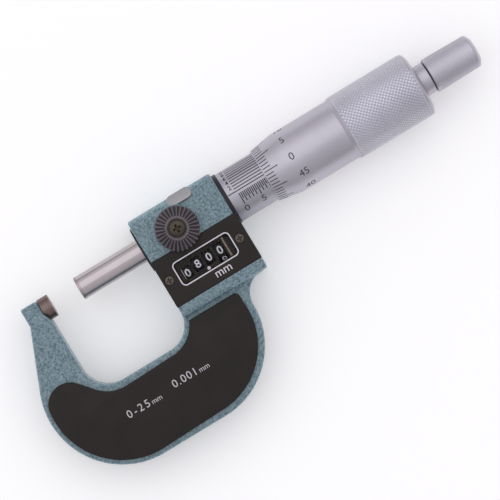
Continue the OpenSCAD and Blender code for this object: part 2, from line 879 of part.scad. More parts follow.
module lock_knob_screw() {
    color(steel) translate([lock_x, 0, 0]) difference() {
        union() {
            translate([0, 0, 7.7]) cylinder(h = 3.2, r = lock_screw_r);
            translate([0, 0, recess_z + 0.01]) cylinder(h = 1.0, r = lock_head_r);
        }
        translate([0, 0, recess_z + 1.01]) cross_recess(1.2, 0.5, 0.6);
    }
}

frame();
anvil();
anvil_tip();
front_grip_plate();
rear_grip_plate();
counter_cover();
counter_window();
digit_mask();
cover_screws();
spindle_seal_ring();
sleeve_shoulder_ring();
top_plug();
front_bush();
inner_sleeve();
adjusting_nut();
graduated_sleeve();
counter_shaft();
idler_arbor();
transfer_shaft();
counter_bracket();
lock_bush();
drive_gear();
drive_key();
spindle();
spindle_tip();
thimble();
ratchet_stud();
ratchet_spring();
ratchet_screw();
ratchet_clutch();
ratchet_knob();
idler_gear();
idler_pinion();
number_wheel_tens();
number_wheel_units();
number_wheel_tenths();
number_wheel_hundredths();
counter_gear();
transfer_pinion_1();
transfer_pinion_2();
transfer_pinion_3();
lock_pad();
lock_stem();
lock_knob();
lock_knob_screw();
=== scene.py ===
"""Outside micrometer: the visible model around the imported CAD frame.

Lengths are worked out in millimetres, in the CAD's own frame: X along the spindle, Y up the frame,
Z out of the front. Meshes are scaled to metres when they are made.
"""

import math

import bmesh
import bpy
import numpy as np
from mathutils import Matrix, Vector, geometry


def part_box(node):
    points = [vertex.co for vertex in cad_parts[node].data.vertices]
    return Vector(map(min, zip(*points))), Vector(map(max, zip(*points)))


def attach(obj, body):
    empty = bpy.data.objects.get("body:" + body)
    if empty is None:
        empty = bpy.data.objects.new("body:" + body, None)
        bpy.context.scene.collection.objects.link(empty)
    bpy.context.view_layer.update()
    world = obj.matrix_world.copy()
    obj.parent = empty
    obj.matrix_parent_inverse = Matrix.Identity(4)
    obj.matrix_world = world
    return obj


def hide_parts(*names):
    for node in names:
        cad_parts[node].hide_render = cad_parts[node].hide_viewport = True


MM = 0.001
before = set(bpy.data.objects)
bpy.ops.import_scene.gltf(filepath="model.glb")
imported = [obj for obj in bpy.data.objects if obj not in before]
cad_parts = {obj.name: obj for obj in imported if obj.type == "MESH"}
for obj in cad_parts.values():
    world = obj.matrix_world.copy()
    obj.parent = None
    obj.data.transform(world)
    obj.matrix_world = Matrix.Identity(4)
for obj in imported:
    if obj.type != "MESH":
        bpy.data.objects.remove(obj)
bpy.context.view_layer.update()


def span(node):
    """Lowest and highest corners of a CAD node, in millimetres."""
    low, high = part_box(node)
    return np.array(low) / MM, np.array(high) / MM


# ---------- meshes


class Shape:
    """Vertices in millimetres and faces, gathered from several pieces."""

    def __init__(self, verts=(), faces=()):
        self.verts = list(verts)
        self.faces = list(faces)

    def add(self, other):
        start = len(self.verts)
        self.verts += other.verts
        self.faces += [tuple(start + i for i in face) for face in other.faces]
        return self

    def mapped(self, place):
        """The same faces, with every vertex put in its place by a function of three numbers."""
        return Shape([place(*v) for v in self.verts], self.faces)


def in_scene(name, data):
    """A new object, linked to the scene."""
    obj = bpy.data.objects.new(name, data)
    bpy.context.scene.collection.objects.link(obj)
    return obj


def put(name, shape, material, body, replaces=(), sharp=30.0):
    """Makes a shape into an object that rides on a CAD body."""
    mesh = bpy.data.meshes.new(name)
    mesh.from_pydata([tuple(c * MM for c in v) for v in shape.verts], [], shape.faces)
    bm = bmesh.new()
    bm.from_mesh(mesh)
    bmesh.ops.remove_doubles(bm, verts=bm.verts, dist=1e-8)
    bmesh.ops.recalc_face_normals(bm, faces=bm.faces)
    bm.to_mesh(mesh)
    bm.free()
    mesh.polygons.foreach_set("use_smooth", [True] * len(mesh.polygons))
    mesh.set_sharp_from_angle(angle=math.radians(sharp))
    mesh.materials.append(material)
    mesh.update()
    obj = in_scene(name, mesh)
    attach(obj, body)
    if replaces:
        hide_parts(*replaces)
    return obj


def soften(points, steps=4):
    """A closed outline of corners (a, b, radius): each corner with a radius becomes an arc."""
    out = []
    count = len(points)
    for i, (a, b, radius) in enumerate(points):
        here = Vector((a, b))
        before = Vector(points[i - 1][:2]) - here
        after = Vector(points[(i + 1) % count][:2]) - here
        if radius <= 0:
            out.append((a, b))
            continue
        turn = before.angle(after)
        reach = min(radius / math.tan(turn / 2), 0.49 * before.length, 0.49 * after.length)
        radius = reach * math.tan(turn / 2)
        u, v = before.normalized(), after.normalized()
        centre = here + (u + v).normalized() * radius / math.sin(turn / 2)
        start, end = here + u * reach - centre, here + v * reach - centre
        first = math.atan2(start.y, start.x)
        sweep = (math.atan2(end.y, end.x) - first + math.pi) % (2 * math.pi) - math.pi
        for k in range(steps + 1):
            angle = first + sweep * k / steps
            out.append((centre.x + radius * math.cos(angle), centre.y + radius * math.sin(angle)))
    return out


def circle(x, y, radius, steps=48):
    angles = np.linspace(0, 2 * math.pi, steps, endpoint=False)
    return [(x + radius * math.cos(a), y + radius * math.sin(a)) for a in angles]


def rounded_rect(x0, x1, y0, y1, radius, steps=6):
    return soften([(x0, y0, radius), (x1, y0, radius), (x1, y1, radius), (x0, y1, radius)], steps)


def stacked(rings, closed=True):
    """Rings of equally many points, joined into a skin. closed also joins the last ring to the first."""
    shape = Shape()
    count = len(rings[0])
    for ring in rings:
        shape.verts += [tuple(map(float, p)) for p in ring]
    pairs = list(zip(range(len(rings)), range(1, len(rings))))
    if closed:
        pairs.append((len(rings) - 1, 0))
    for a, b in pairs:
        for i in range(count):
            j = (i + 1) % count
            shape.faces.append((a * count + i, a * count + j, b * count + j, b * count + i))
    return shape


def lathe(profile, segments=128, grooves=None):
    """A closed profile turned about the X axis. A point is (x, radius), or (x, radius, dx, dr) where the
    two last numbers say how far the bottom of a groove lies from there; grooves holds each groove's depth
    from 0 to 1 at equal angles, and how many grooves there are."""
    depth = np.zeros(segments)
    if grooves:
        wave, count = grooves
        depth = np.tile(wave, count)
        segments = len(depth)
    angles = np.linspace(0, 2 * math.pi, segments, endpoint=False)
    rings = []
    for x, r, *shift in profile:
        dx, dr = shift or (0, 0)
        radius = np.maximum(r + dr * depth, 0)
        rings.append(np.stack([x + dx * depth, radius * np.cos(angles), radius * np.sin(angles)], 1))
    return tidy(stacked(rings))


def tidy(shape):
    """Joins vertices that share a place, and drops faces that have shrunk to a line."""
    keys = {}
    index = [keys.setdefault(tuple(round(c, 6) for c in v), len(keys)) for v in shape.verts]
    faces = [tuple(dict.fromkeys(index[i] for i in face)) for face in shape.faces]
    return Shape(list(keys), [face for face in faces if len(face) > 2])


def tube(name, bore, rounds):
    """A ring as long and as wide as a CAD node. rounds holds the radius of each of the section's corners,
    from the bore's left end."""
    low, high = span(name)
    corners = ((low[0], bore), (low[0], high[1]), (high[0], high[1]), (high[0], bore))
    return lathe(soften([(*corner, radius) for corner, radius in zip(corners, rounds)]))


def upright(shape, x, y):
    """A shape made about the X axis, stood along Z at (x, y)."""
    return shape.mapped(lambda u, v, w: (x + v, y + w, u))


def inset(outline, depth):
    """A counter-clockwise outline moved inwards."""
    pts = np.array(outline)
    before, after = pts - np.roll(pts, 1, 0), np.roll(pts, -1, 0) - pts
    before /= np.linalg.norm(before, axis=1)[:, None]
    after /= np.linalg.norm(after, axis=1)[:, None]
    n0 = np.stack([-before[:, 1], before[:, 0]], 1)
    mean = n0 + np.stack([-after[:, 1], after[:, 0]], 1)
    mean /= np.linalg.norm(mean, axis=1)[:, None]
    scale = depth / np.clip(np.sum(mean * n0, axis=1), 0.4, 1.0)
    return pts + mean * scale[:, None]


def edge_rows(z0, z1, radius, steps):
    """How far in, and at what height, each row of a rounded edge lies, from z0 to z1."""
    rows = []
    for z, way in ((z0, -1), (z1, 1)):
        turns = np.radians(np.linspace(0, 90, steps + 1))[::way]
        rows += [(radius * (1 - math.cos(a)), z - way * radius * (1 - math.sin(a))) for a in turns]
    return rows


def plate(outer, holes, z0, z1, edge=0.2, hole_edge=0.1, steps=3):
    """A flat plate with rounded edges. Outlines and holes run counter-clockwise."""
    shape = Shape()
    ends = ([], [])
    for outline, radius, way in [(outer, edge, 1)] + [(hole, hole_edge, -1) for hole in holes]:
        rings = [np.column_stack([inset(outline, way * depth), np.full(len(outline), z)])
                 for depth, z in edge_rows(z0, z1, radius, steps)]
        start, count = len(shape.verts), len(outline)
        shape.add(stacked(rings, closed=False))
        ends[0].append(range(start, start + count))
        ends[1].append(range(start + count * (len(rings) - 1), start + count * len(rings)))
    for loops in ends:
        index = [i for loop in loops for i in loop]
        outlines = [[Vector(shape.verts[i]) for i in loop] for loop in loops]
        shape.faces += [tuple(index[i] for i in tri) for tri in geometry.tessellate_polygon(outlines)]
    return shape


# ---------- solids from distance functions


def surface(distance, low, high, step):
    """The surface where a distance function is zero: one vertex per grid cell, then drawn on to it."""
    low, high = np.array(low, float), np.array(high, float)
    counts = np.ceil((high - low) / step).astype(int) + 1
    axes = [low[k] + step * np.arange(counts[k]) for k in range(3)]
    field = distance(axes[0][:, None, None], axes[1][None, :, None], axes[2][None, None, :])
    field = np.broadcast_to(field, counts).astype(np.float32)
    inside = field < 0
    offsets = [np.array((a, b, c)) for a in (0, 1) for b in (0, 1) for c in (0, 1)]
    size = counts - 1
    total = sum(inside[o[0]:size[0] + o[0], o[1]:size[1] + o[1], o[2]:size[2] + o[2]].astype(np.int8)
                for o in offsets)
    cells = np.argwhere((total > 0) & (total < 8))
    ids = np.full(size, -1, np.int64)
    ids[tuple(cells.T)] = np.arange(len(cells))
    points = low + (cells + crossings(field, cells, offsets)) * step
    faces = []
    for k in range(3):
        faces += crossed_edges(inside, ids, counts, k)
    points = drawn_on(distance, points, step)
    return Shape([tuple(p) for p in points.tolist()], [tuple(f) for f in np.concatenate(faces).tolist()])


def crossings(field, cells, offsets):
    """The mean place, within each cell, where its edges cross the surface."""
    where, hits = np.zeros((len(cells), 3)), np.zeros(len(cells))
    for a in offsets:
        for k in range(3):
            if a[k]:
                continue
            b = a + np.eye(3, dtype=int)[k]
            da, db = field[tuple((cells + a).T)], field[tuple((cells + b).T)]
            cross = (da < 0) != (db < 0)
            point = a + np.zeros((len(cells), 3))
            point[:, k] += np.where(cross, da / np.where(cross, da - db, 1), 0)
            where += point * cross[:, None]
            hits += cross
    return where / hits[:, None]


def crossed_edges(inside, ids, counts, k):
    """A quad round each grid edge along one axis that crosses the surface."""
    u, v = (k + 1) % 3, (k + 2) % 3
    first, second = [slice(0, c) for c in counts], [slice(0, c) for c in counts]
    first[k], second[k] = slice(0, counts[k] - 1), slice(1, counts[k])
    a, b = inside[tuple(first)], inside[tuple(second)]
    out = []
    for flip, mask in ((1, a & ~b), (-1, ~a & b)):
        at = np.argwhere(mask)
        quad = []
        for du, dv in ((-1, -1), (0, -1), (0, 0), (-1, 0))[::flip]:
            corner = at.copy()
            corner[:, u] += du
            corner[:, v] += dv
            quad.append(ids[tuple(corner.T)])
        out.append(np.stack(quad, 1))
    return out


def drawn_on(distance, points, step):
    """Points drawn along the gradient to where the distance is zero, though never far."""
    home, tiny = points.copy(), step * 0.05
    for _ in range(4):
        value = distance(*points.T)
        slope = np.stack([(distance(*(points + tiny * e).T) - value) / tiny for e in np.eye(3)], 1)
        points = points - slope * (value / np.maximum(np.sum(slope * slope, 1), 0.25))[:, None]
        points = np.clip(points, home - 0.6 * step, home + 0.6 * step)
    return points


def d_polygon(x, y, points):
    """Signed distance to a polygon in the plane."""
    nearest, odd = np.inf, False
    for (ax, ay), (bx, by) in zip(points, points[1:] + points[:1]):
        ex, ey = bx - ax, by - ay
        t = np.clip(((x - ax) * ex + (y - ay) * ey) / (ex * ex + ey * ey), 0, 1)
        nearest = np.minimum(nearest, np.hypot(x - ax - ex * t, y - ay - ey * t))
        if ey:
            odd = odd ^ (((ay > y) != (by > y)) & (x < ex * (y - ay) / ey + ax))
    return np.where(odd, -1, 1) * nearest


def d_circle(x, y, centre, radius):
    return np.hypot(x - centre[0], y - centre[1]) - radius


def d_corner(u, v, radius):
    """Joins two distances, to planes at right angles, into one with a rounded corner."""
    u, v = u + radius, v + radius
    return np.minimum(np.maximum(u, v), 0) + np.hypot(np.maximum(u, 0), np.maximum(v, 0)) - radius


def d_slab(x, low, high):
    return np.abs(x - (low + high) / 2) - (high - low) / 2


def d_box(x, y, x0, x1, y0, y1, radius=0.0):
    return d_corner(d_slab(x, x0, x1), d_slab(y, y0, y1), radius)


def d_rod_x(x, y, z, x0, x1, radius, centre=(0.0, 0.0)):
    return np.maximum(d_circle(y, z, centre, radius), d_slab(x, x0, x1))


def join(a, b, blend=0.0):
    """Both shapes; blend is the reach of the fillet between them."""
    if not blend:
        return np.minimum(a, b)
    h = np.maximum(blend - np.abs(a - b), 0) / blend
    return np.minimum(a, b) - h * h * blend / 4


def cut(a, b, blend=0.0):
    """The first shape without the second."""
    return -join(-a, b, blend)


# ---------- materials


def srgb(r, g, b):
    """A colour picked in 0 to 255 sRGB, as linear light."""
    return tuple(((c / 255 + 0.055) / 1.055) ** 2.4 if c > 10 else c / 255 / 12.92 for c in (r, g, b))


def grey(value):
    return (value, value, value)


def tinted(colour, factor):
    return tuple(min(1.0, c * factor) for c in colour)


def material(name, colour, roughness, metallic=0.0, **values):
    mat = bpy.data.materials.new(name)
    mat.use_nodes = True
    shader = shader_of(mat)
    shader.inputs["Base Color"].default_value = (*colour, 1.0)
    shader.inputs["Roughness"].default_value = roughness
    shader.inputs["Metallic"].default_value = metallic
    for key, value in values.items():
        shader.inputs[key.replace("_", " ")].default_value = value
    return mat


def shader_of(mat):
    return mat.node_tree.nodes["Principled BSDF"]


def node(mat, kind, settings=(), sockets=()):
    made = mat.node_tree.nodes.new(kind)
    for key, value in dict(settings).items():
        setattr(made, key, value)
    for key, value in dict(sockets).items():
        made.inputs[key].default_value = value
    return made


def wire(mat, start, out, end, into):
    mat.node_tree.links.new(start.outputs[out], end.inputs[into])


def ramp(mat, source, out, stops):
    """A colour ramp fed by a node. stops are (place, colour)."""
    made = node(mat, "ShaderNodeValToRGB")
    elements = made.color_ramp.elements
    while len(elements) < len(stops):
        elements.new(0.5)
    for element, (place, colour) in zip(elements, stops):
        element.position = place
        element.color = (*colour, 1.0)
    wire(mat, source, out, made, "Fac")
    return made


def shaded(mat, socket, source, *stops):
    """Feeds one of the shader's sockets from noise, through a colour ramp."""
    wire(mat, ramp(mat, source, "Fac", stops), "Color", shader_of(mat), socket)


def noise(mat, place, per_metre, detail=3.0, stretch=None):
    """Noise in the object's own coordinates, with so many features to the metre."""
    made = node(mat, "ShaderNodeTexNoise", sockets={"Scale": per_metre, "Detail": detail})
    if stretch:
        mapping = node(mat, "ShaderNodeMapping", sockets={"Scale": stretch})
        wire(mat, place, "Object", mapping, "Vector")
        wire(mat, mapping, "Vector", made, "Vector")
    else:
        wire(mat, place, "Object", made, "Vector")
    return made


def bump(mat, source, out, strength, depth_mm):
    made = node(mat, "ShaderNodeBump", sockets={"Strength": strength, "Distance": depth_mm * MM})
    wire(mat, source, out, made, "Height")
    wire(mat, made, "Normal", shader_of(mat), "Normal")


def blend(mat, mode, factor, first, out1, second, out2):
    """Two colours mixed by a blend mode."""
    made = node(mat, "ShaderNodeMix", {"data_type": "RGBA", "blend_type": mode})
    made.inputs[0].default_value = factor
    wire(mat, first, out1, made, 6)
    wire(mat, second, out2, made, 7)
    return made


def hammer_paint():
    """Grey-green hammered paint: dark irregular specks about half a millimetre across in a paler ground.
    Faces turned away from Z, the rounded edges and the sides, carry a painted highlight: they are kept
    paler than the flats."""
    mat = material("hammer_paint", srgb(112, 133, 146), 0.38, 0.25, Coat_Weight=0.2, Coat_Roughness=0.3)
    place = node(mat, "ShaderNodeTexCoord")
    specks = noise(mat, place, 1900, 2.0)
    specks.inputs["Distortion"].default_value = 0.6
    colours = ramp(mat, specks, "Fac", [
        (0.36, srgb(90, 123, 133)), (0.48, srgb(130, 157, 167)), (0.68, srgb(158, 184, 195))])
    clouds = noise(mat, place, 420, 4.0)
    shade = ramp(mat, clouds, "Fac", [(0.3, grey(0.9)), (0.7, grey(1.0))])
    mix = blend(mat, "MULTIPLY", 1.0, colours, "Color", shade, "Color")
    # Painted highlight: the colour is scaled by how far each face turns from Z, so rounded edges and sides
    # look lit.
    side = node(mat, "ShaderNodeSeparateXYZ")
    wire(mat, node(mat, "ShaderNodeNewGeometry"), "Normal", side, "Vector")
    flatness = node(mat, "ShaderNodeMath", {"operation": "ABSOLUTE"})
    wire(mat, side, "Z", flatness, 0)
    edge = ramp(mat, flatness, 0, [(0.75, grey(1.0)), (0.97, grey(0.66))])
    painted_edge_highlight = blend(mat, "MULTIPLY", 1.0, mix, 2, edge, "Color")
    mat.node_tree.links.new(painted_edge_highlight.outputs[2], shader_of(mat).inputs["Base Color"])
    bump(mat, specks, "Fac", 0.35, 0.06)
    return mat


def satin_black(name, colour, roughness=0.48, grain=0.2):
    """Black coating with a fine even grain and a faint cloudiness."""
    mat = material(name, colour, roughness, Specular_IOR_Level=0.25)
    place = node(mat, "ShaderNodeTexCoord")
    fine = noise(mat, place, 6000, 2.0)
    clouds = noise(mat, place, 150, 3.0)
    shaded(mat, "Base Color", clouds, (0.3, tinted(colour, 0.85)), (0.7, tinted(colour, 1.15)))
    shaded(mat, "Roughness", fine, (0.2, grey(roughness - 0.06)), (0.8, grey(roughness + 0.08)))
    bump(mat, fine, "Fac", grain, 0.02)
    return mat


def satin_chrome(name, colour, roughness, turning=0.3, blast=0.2):
    """Satin plating over turned steel: very fine rings round the axis and a soft grain."""
    mat = material(name, colour, roughness, 1.0)
    place = node(mat, "ShaderNodeTexCoord")
    rings = noise(mat, place, 9000, 2.0, stretch=(1.0, 0.02, 0.02))
    grain = noise(mat, place, 7000, 2.0)
    both = node(mat, "ShaderNodeMix", {"data_type": "FLOAT"})
    both.inputs[0].default_value = blast / (blast + turning)
    wire(mat, rings, "Fac", both, 2)
    wire(mat, grain, "Fac", both, 3)
    clouds = noise(mat, place, 90, 3.0)
    shaded(mat, "Base Color", clouds, (0.3, tinted(colour, 0.95)), (0.7, tinted(colour, 1.03)))
    shaded(mat, "Roughness", grain, (0.25, grey(roughness - 0.04)), (0.75, grey(roughness + 0.05)))
    bump(mat, both, 0, turning + blast, 0.012)
    return mat


def metal(name, colour, roughness, grain=0.2):
    """Plain machined metal with a fine grain."""
    mat = material(name, colour, roughness, 1.0)
    place = node(mat, "ShaderNodeTexCoord")
    fine = noise(mat, place, 5000)
    shaded(mat, "Base Color", fine, (0.3, tinted(colour, 0.88)), (0.7, colour))
    bump(mat, fine, "Fac", grain, 0.02)
    return mat


def clear(name, opacity):
    """A dark clear pane: only its reflection and a trace of smoke show, a little uneven."""
    mat = material(name, grey(0.02), 0.05, Alpha=opacity, Specular_IOR_Level=0.1)
    place = node(mat, "ShaderNodeTexCoord")
    fine = noise(mat, place, 700, 2.0)
    shaded(mat, "Roughness", fine, (0.3, grey(0.03)), (0.7, grey(0.09)))
    return mat


def ink(name, colour, roughness=0.5):
    """Print or filled engraving, a little uneven."""
    mat = material(name, colour, roughness)
    place = node(mat, "ShaderNodeTexCoord")
    fine = noise(mat, place, 8000, 2.0)
    shaded(mat, "Base Color", fine, (0.3, tinted(colour, 0.9)), (0.7, colour))
    return mat


PAINT = hammer_paint()
CHROME = satin_chrome("satin_chrome", (0.52, 0.50, 0.56), 0.41)
KNURLED = satin_chrome("knurled_chrome", (0.66, 0.655, 0.715), 0.38, 0.05, 0.1)
BARREL = satin_chrome("barrel_chrome", (0.46, 0.45, 0.50), 0.42, 0.2, 0.3)
GROUND = satin_chrome("ground_chrome", (0.50, 0.455, 0.465), 0.2, 0.25, 0.05)
# Painted shade: the anvil's chrome is a darker copy of the spindle's, standing in for the darker
# surroundings it reflects.
SHADED = satin_chrome("anvil_chrome_painted_shade", (0.19, 0.143, 0.13), 0.25, 0.25, 0.05)
CARBIDE = metal("carbide", (0.44, 0.39, 0.39), 0.3, 0.05)
BLACK = satin_black("black_plate", srgb(33, 28, 25))
BLACK_KNOB = satin_black("black_knob", srgb(104, 98, 103), 0.4)
# Painted shade: a darker copy of the knob's black, for the faces down in its grooves.
GROOVE_PAINTED_SHADE = satin_black("knob_groove_painted_shade", srgb(70, 64, 69), 0.5)
BLACK_RING = satin_black("black_ring", srgb(46, 46, 52), 0.4)
WHEEL = satin_black("wheel_black", srgb(26, 25, 27), 0.5, 0.1)
WHITE = ink("white_print", srgb(222, 218, 226))
PALE = ink("pale_print", srgb(198, 194, 198))
DIGIT = ink("white_digit", srgb(235, 235, 245))
DARK = ink("black_fill", srgb(46, 42, 50), 0.6)
BRASS = metal("brass", (0.62, 0.50, 0.34), 0.6, 0.05)
DULL_BRASS = metal("dull_brass", (0.25, 0.2, 0.15), 0.5, 0.1)
STEEL = metal("steel", (0.55, 0.54, 0.55), 0.28)
SCREW = metal("dark_screw", srgb(92, 86, 80), 0.34)
HEAD = metal("worn_screw", srgb(80, 73, 64), 0.3)
PLUG = metal("plug_nickel", (0.42, 0.42, 0.43), 0.5, 0.5)
GLASS = clear("clear_window", 0.05)

# ---------- frame

SPINDLE_R = span("spindle_tip")[1][1]
SHANK_X1 = -3.1
WEB = span("front_grip_plate")[0][2]
COVER_LOW, COVER_HIGH = span("counter_cover")
FRAME_LOW, FRAME_HIGH = span("frame")
COVER_GAP = 0.05
SEAT_TOP, SEAT_BOTTOM = COVER_HIGH[1] + COVER_GAP, COVER_LOW[1] - COVER_GAP
SEAT = COVER_LOW[2]
BLOCK_X0 = COVER_LOW[0] + 0.15
BLOCK_X1 = span("sleeve_shoulder_ring")[0][0]
BLOCK_TOP, BLOCK_BOTTOM = 8.0, -20.4
BLOCK_FRONT = 8.0
BLOCK_ROUND, BLOCK_ROUND_BELOW = 2.5, 1.0
EDGE, WEB_EDGE, WEB_FILLET = 0.55, 0.7, 0.8
BOW_LEFT, BOW_LEFT_R = (5.4, -26.2), 21.4
BOW_RIGHT, BOW_RIGHT_R = (23.5, -26.6), 21.0
FILLET, FILLET_R = (50.9, -26.8), 6.4
THROAT_X0, THROAT_Y0, THROAT_R = -2.05, -25.85, 7.7
FAR = 60.0
SHOULDER = [(SHANK_X1, FAR), (SHANK_X1, -0.8), (-2.8, -1.6), (-2.35, -2.5), (THROAT_X0, -3.6),
            (5.0, -3.6), (5.0, FAR)]
ARM_X, ARM_TOP = -7.65, 3.0
ARM_SLOPE = math.radians(22.8)
LOCK_LOW, LOCK_HIGH = span("lock_knob")
LOCK_X = (LOCK_LOW[0] + LOCK_HIGH[0]) / 2
LOCK_R = (LOCK_HIGH[0] - LOCK_LOW[0]) / 2
IDLER = tuple((a + b) / 2 for a, b in zip(*(v[1:] for v in span("idler_arbor"))))
COUNTER = tuple((a + b) / 2 for a, b in zip(*(v[1:] for v in span("counter_shaft"))))
SCREWS_LOW, SCREWS_HIGH = span("cover_screws")
SCREW_R = 1.2
SCREW_AT = [(x, (SCREWS_LOW[1] + SCREWS_HIGH[1]) / 2)
            for x in (SCREWS_LOW[0] + SCREW_R, SCREWS_HIGH[0] - SCREW_R)]
BOSS_R, BOSS_Z = 6.2, (6.7, 8.7)
CAVITY = (30.2, 47.7, -15.2, -4.8)
CAVITY_Z0 = -5.7
LOCK_BORE, SCREW_BORE, SCREW_BORE_Z0 = 2.3, 0.71, 1.5
IDLER_BORES = ((45.7, 47.05, 4.2), (45.7, 48.3, 1.35), (48.2, 51.0, 2.4), (44.6, FAR, 0.56))
SPINDLE_BORES = ((20.0, 33.6, 4.41), (20.0, FAR, SPINDLE_R + 0.12), (48.2, FAR, 6.5),
                 (BLOCK_X1, FAR, 7.25), (-7.01, 0.0, 2.41), (SHANK_X1, 1.0, SPINDLE_R + 0.05))


def d_web(x, y):
    """The C-frame's outline."""
    tangent = (BOW_LEFT[0] - BOW_LEFT_R * math.cos(ARM_SLOPE),
               BOW_LEFT[1] + BOW_LEFT_R * math.sin(ARM_SLOPE))
    bend = tangent[1] + (ARM_X - tangent[0]) / math.tan(ARM_SLOPE)
    arm = [(ARM_X, ARM_TOP + 2), (ARM_X, bend), tangent,
           BOW_LEFT, (BOW_LEFT[0], BOW_LEFT[1] - BOW_LEFT_R), (BOW_RIGHT[0], BOW_RIGHT[1] - BOW_RIGHT_R),
           BOW_RIGHT, (BOW_RIGHT[0] + BOW_RIGHT_R, BOW_RIGHT[1]),
           FILLET, (FILLET[0], BLOCK_BOTTOM + 1.5), (BLOCK_X0 + 1, BLOCK_BOTTOM + 1.5),
           (BLOCK_X0 + 1, ARM_TOP + 2)]
    d = join(d_circle(x, y, BOW_LEFT, BOW_LEFT_R), d_circle(x, y, BOW_RIGHT, BOW_RIGHT_R))
    d = join(d, d_polygon(x, y, arm))
    throat = join(d_box(x, y, THROAT_X0, BLOCK_X0, THROAT_Y0, FAR, THROAT_R), d_polygon(x, y, SHOULDER))
    d = cut(d, throat, 0.3)
    d = cut(d, d_circle(x, y, FILLET, FILLET_R), 0.2)
    return d_corner(d, y - ARM_TOP, 0.6)


def d_block(x, y, z):
    """The counter's housing, with the boss under the lock and the seat for the cover."""
    corner = np.where(y > 0, BLOCK_ROUND, BLOCK_ROUND_BELOW)
    section = d_box(y, z, BLOCK_BOTTOM, BLOCK_TOP, FRAME_LOW[2], BLOCK_FRONT, corner)
    d = d_corner(section, d_slab(x, BLOCK_X0, BLOCK_X1), EDGE)
    d = join(d, d_corner(np.maximum(section, y - SEAT_TOP), d_slab(x, BLOCK_X0, FRAME_HIGH[0]), EDGE))
    boss = np.maximum(d_circle(x, y, (LOCK_X, 0), BOSS_R), d_slab(z, *BOSS_Z))
    d = join(d, np.maximum(boss, SEAT_TOP - y), 0.3)
    return cut(d, np.maximum(d_slab(y, SEAT_BOTTOM, SEAT_TOP), SEAT - z), 0.15)


def d_frame(x, y, z):
    d = join(d_corner(d_web(x, y), d_slab(z, -WEB, WEB), WEB_EDGE), d_block(x, y, z), WEB_FILLET)
    d = cut(d, np.maximum(d_box(x, y, *CAVITY), CAVITY_Z0 - z))
    for bores, centre in ((IDLER_BORES, IDLER), (SPINDLE_BORES, (0.0, 0.0))):
        for bore in bores:
            d = cut(d, d_rod_x(x, y, z, *bore, centre))
    d = cut(d, np.maximum(d_circle(x, y, (LOCK_X, 0), LOCK_BORE), -z))
    for at in SCREW_AT:
        d = cut(d, np.maximum(d_circle(x, y, at, SCREW_BORE), SCREW_BORE_Z0 - z))
    return d


STEP = 0.22
MARGIN = 0.7
put("frame_body", surface(d_frame, FRAME_LOW - MARGIN, FRAME_HIGH + MARGIN, STEP),
    PAINT, "frame", ["frame"], sharp=50)


def outline(name):
    """The counter-clockwise outline of a CAD node's flat front, in millimetres."""
    mesh = bpy.data.objects[name].data
    places = [tuple(round(c / MM, 4) for c in v.co) for v in mesh.vertices]
    top = max(p[2] for p in places)
    onward = {}
    for face in mesh.polygons:
        ring = [places[i] for i in face.vertices]
        if all(abs(p[2] - top) < 1e-3 for p in ring):
            for a, b in zip(ring, ring[1:] + ring[:1]):
                if a in onward.get(b, ()):
                    onward[b].remove(a)
                else:
                    onward.setdefault(a, []).append(b)
    here = next(a for a, ends in onward.items() if ends)
    loop = [here[:2]]
    while onward[here]:
        here = onward[here].pop()
        if here[:2] == loop[0]:
            break
        if math.dist(here[:2], loop[-1]) > 0.02:
            loop.append(here[:2])
    area = sum(a[0] * b[1] - b[0] * a[1] for a, b in zip(loop, loop[1:] + loop[:1]))
    return loop if area > 0 else loop[::-1]


GRIP_EDGE = 0.3
for side in ("front", "rear"):
    low, high = span(f"{side}_grip_plate")
    put(f"{side}_plate", plate(outline(f"{side}_grip_plate"), [], low[2], high[2], GRIP_EDGE),
        BLACK, "frame", [f"{side}_grip_plate"])

# ---------- flat marks laid on a surface


def sliced(flat, step):
    """Flat faces cut along lines of equal y, so that they can follow a curve."""
    bm = bmesh.new()
    verts = [bm.verts.new((v[0], v[1], 0)) for v in flat.verts]
    for face in flat.faces:
        bm.faces.new([verts[i] for i in face])
    heights = [v[1] for v in flat.verts]
    for k in range(math.ceil(min(heights) / step), math.floor(max(heights) / step) + 1):
        bmesh.ops.bisect_plane(bm, geom=bm.verts[:] + bm.edges[:] + bm.faces[:],
                               plane_co=(0, k * step, 0), plane_no=(0, 1, 0))
    bm.verts.index_update()
    out = Shape([tuple(v.co) for v in bm.verts], [tuple(v.index for v in f.verts) for f in bm.faces])
    bm.free()
    return out


LIFT, SINK = 0.012, 0.03


def decal(flat, place):
    """A thin closed layer made from flat faces: place puts (x, y, height above the surface) in space."""
    count = len(flat.verts)
    top = [place(v[0], v[1], LIFT) for v in flat.verts]
    bottom = [place(v[0], v[1], -SINK) for v in flat.verts]
    rim = {}
    for face in flat.faces:
        for a, b in zip(face, face[1:] + face[:1]):
            if (b, a) in rim:
                del rim[(b, a)]
            else:
                rim[(a, b)] = True
    faces = list(flat.faces) + [tuple(count + i for i in reversed(face)) for face in flat.faces]
    faces += [(b, a, count + a, count + b) for a, b in rim]
    return Shape(top + bottom, faces)


def extent(flat, axis=0):
    values = [v[axis] for v in flat.verts]
    return min(values), max(values)


def glyphs(text, bold=0.0, spacing=1.0):
    """Flat faces of a text, in the font's own unit."""
    curve = bpy.data.curves.new("lettering", "FONT")
    curve.body = text
    curve.resolution_u = 4
    curve.offset = bold
    curve.space_character = spacing
    obj = bpy.data.objects.new("lettering", curve)
    mesh = bpy.data.meshes.new_from_object(obj)
    flat = Shape([tuple(v.co) for v in mesh.vertices], [tuple(p.vertices) for p in mesh.polygons])
    bpy.data.objects.remove(obj)
    bpy.data.curves.remove(curve)
    bpy.data.meshes.remove(mesh)
    return flat


DIGIT_HEIGHT = extent(tidy(glyphs("1")), 1)[1]


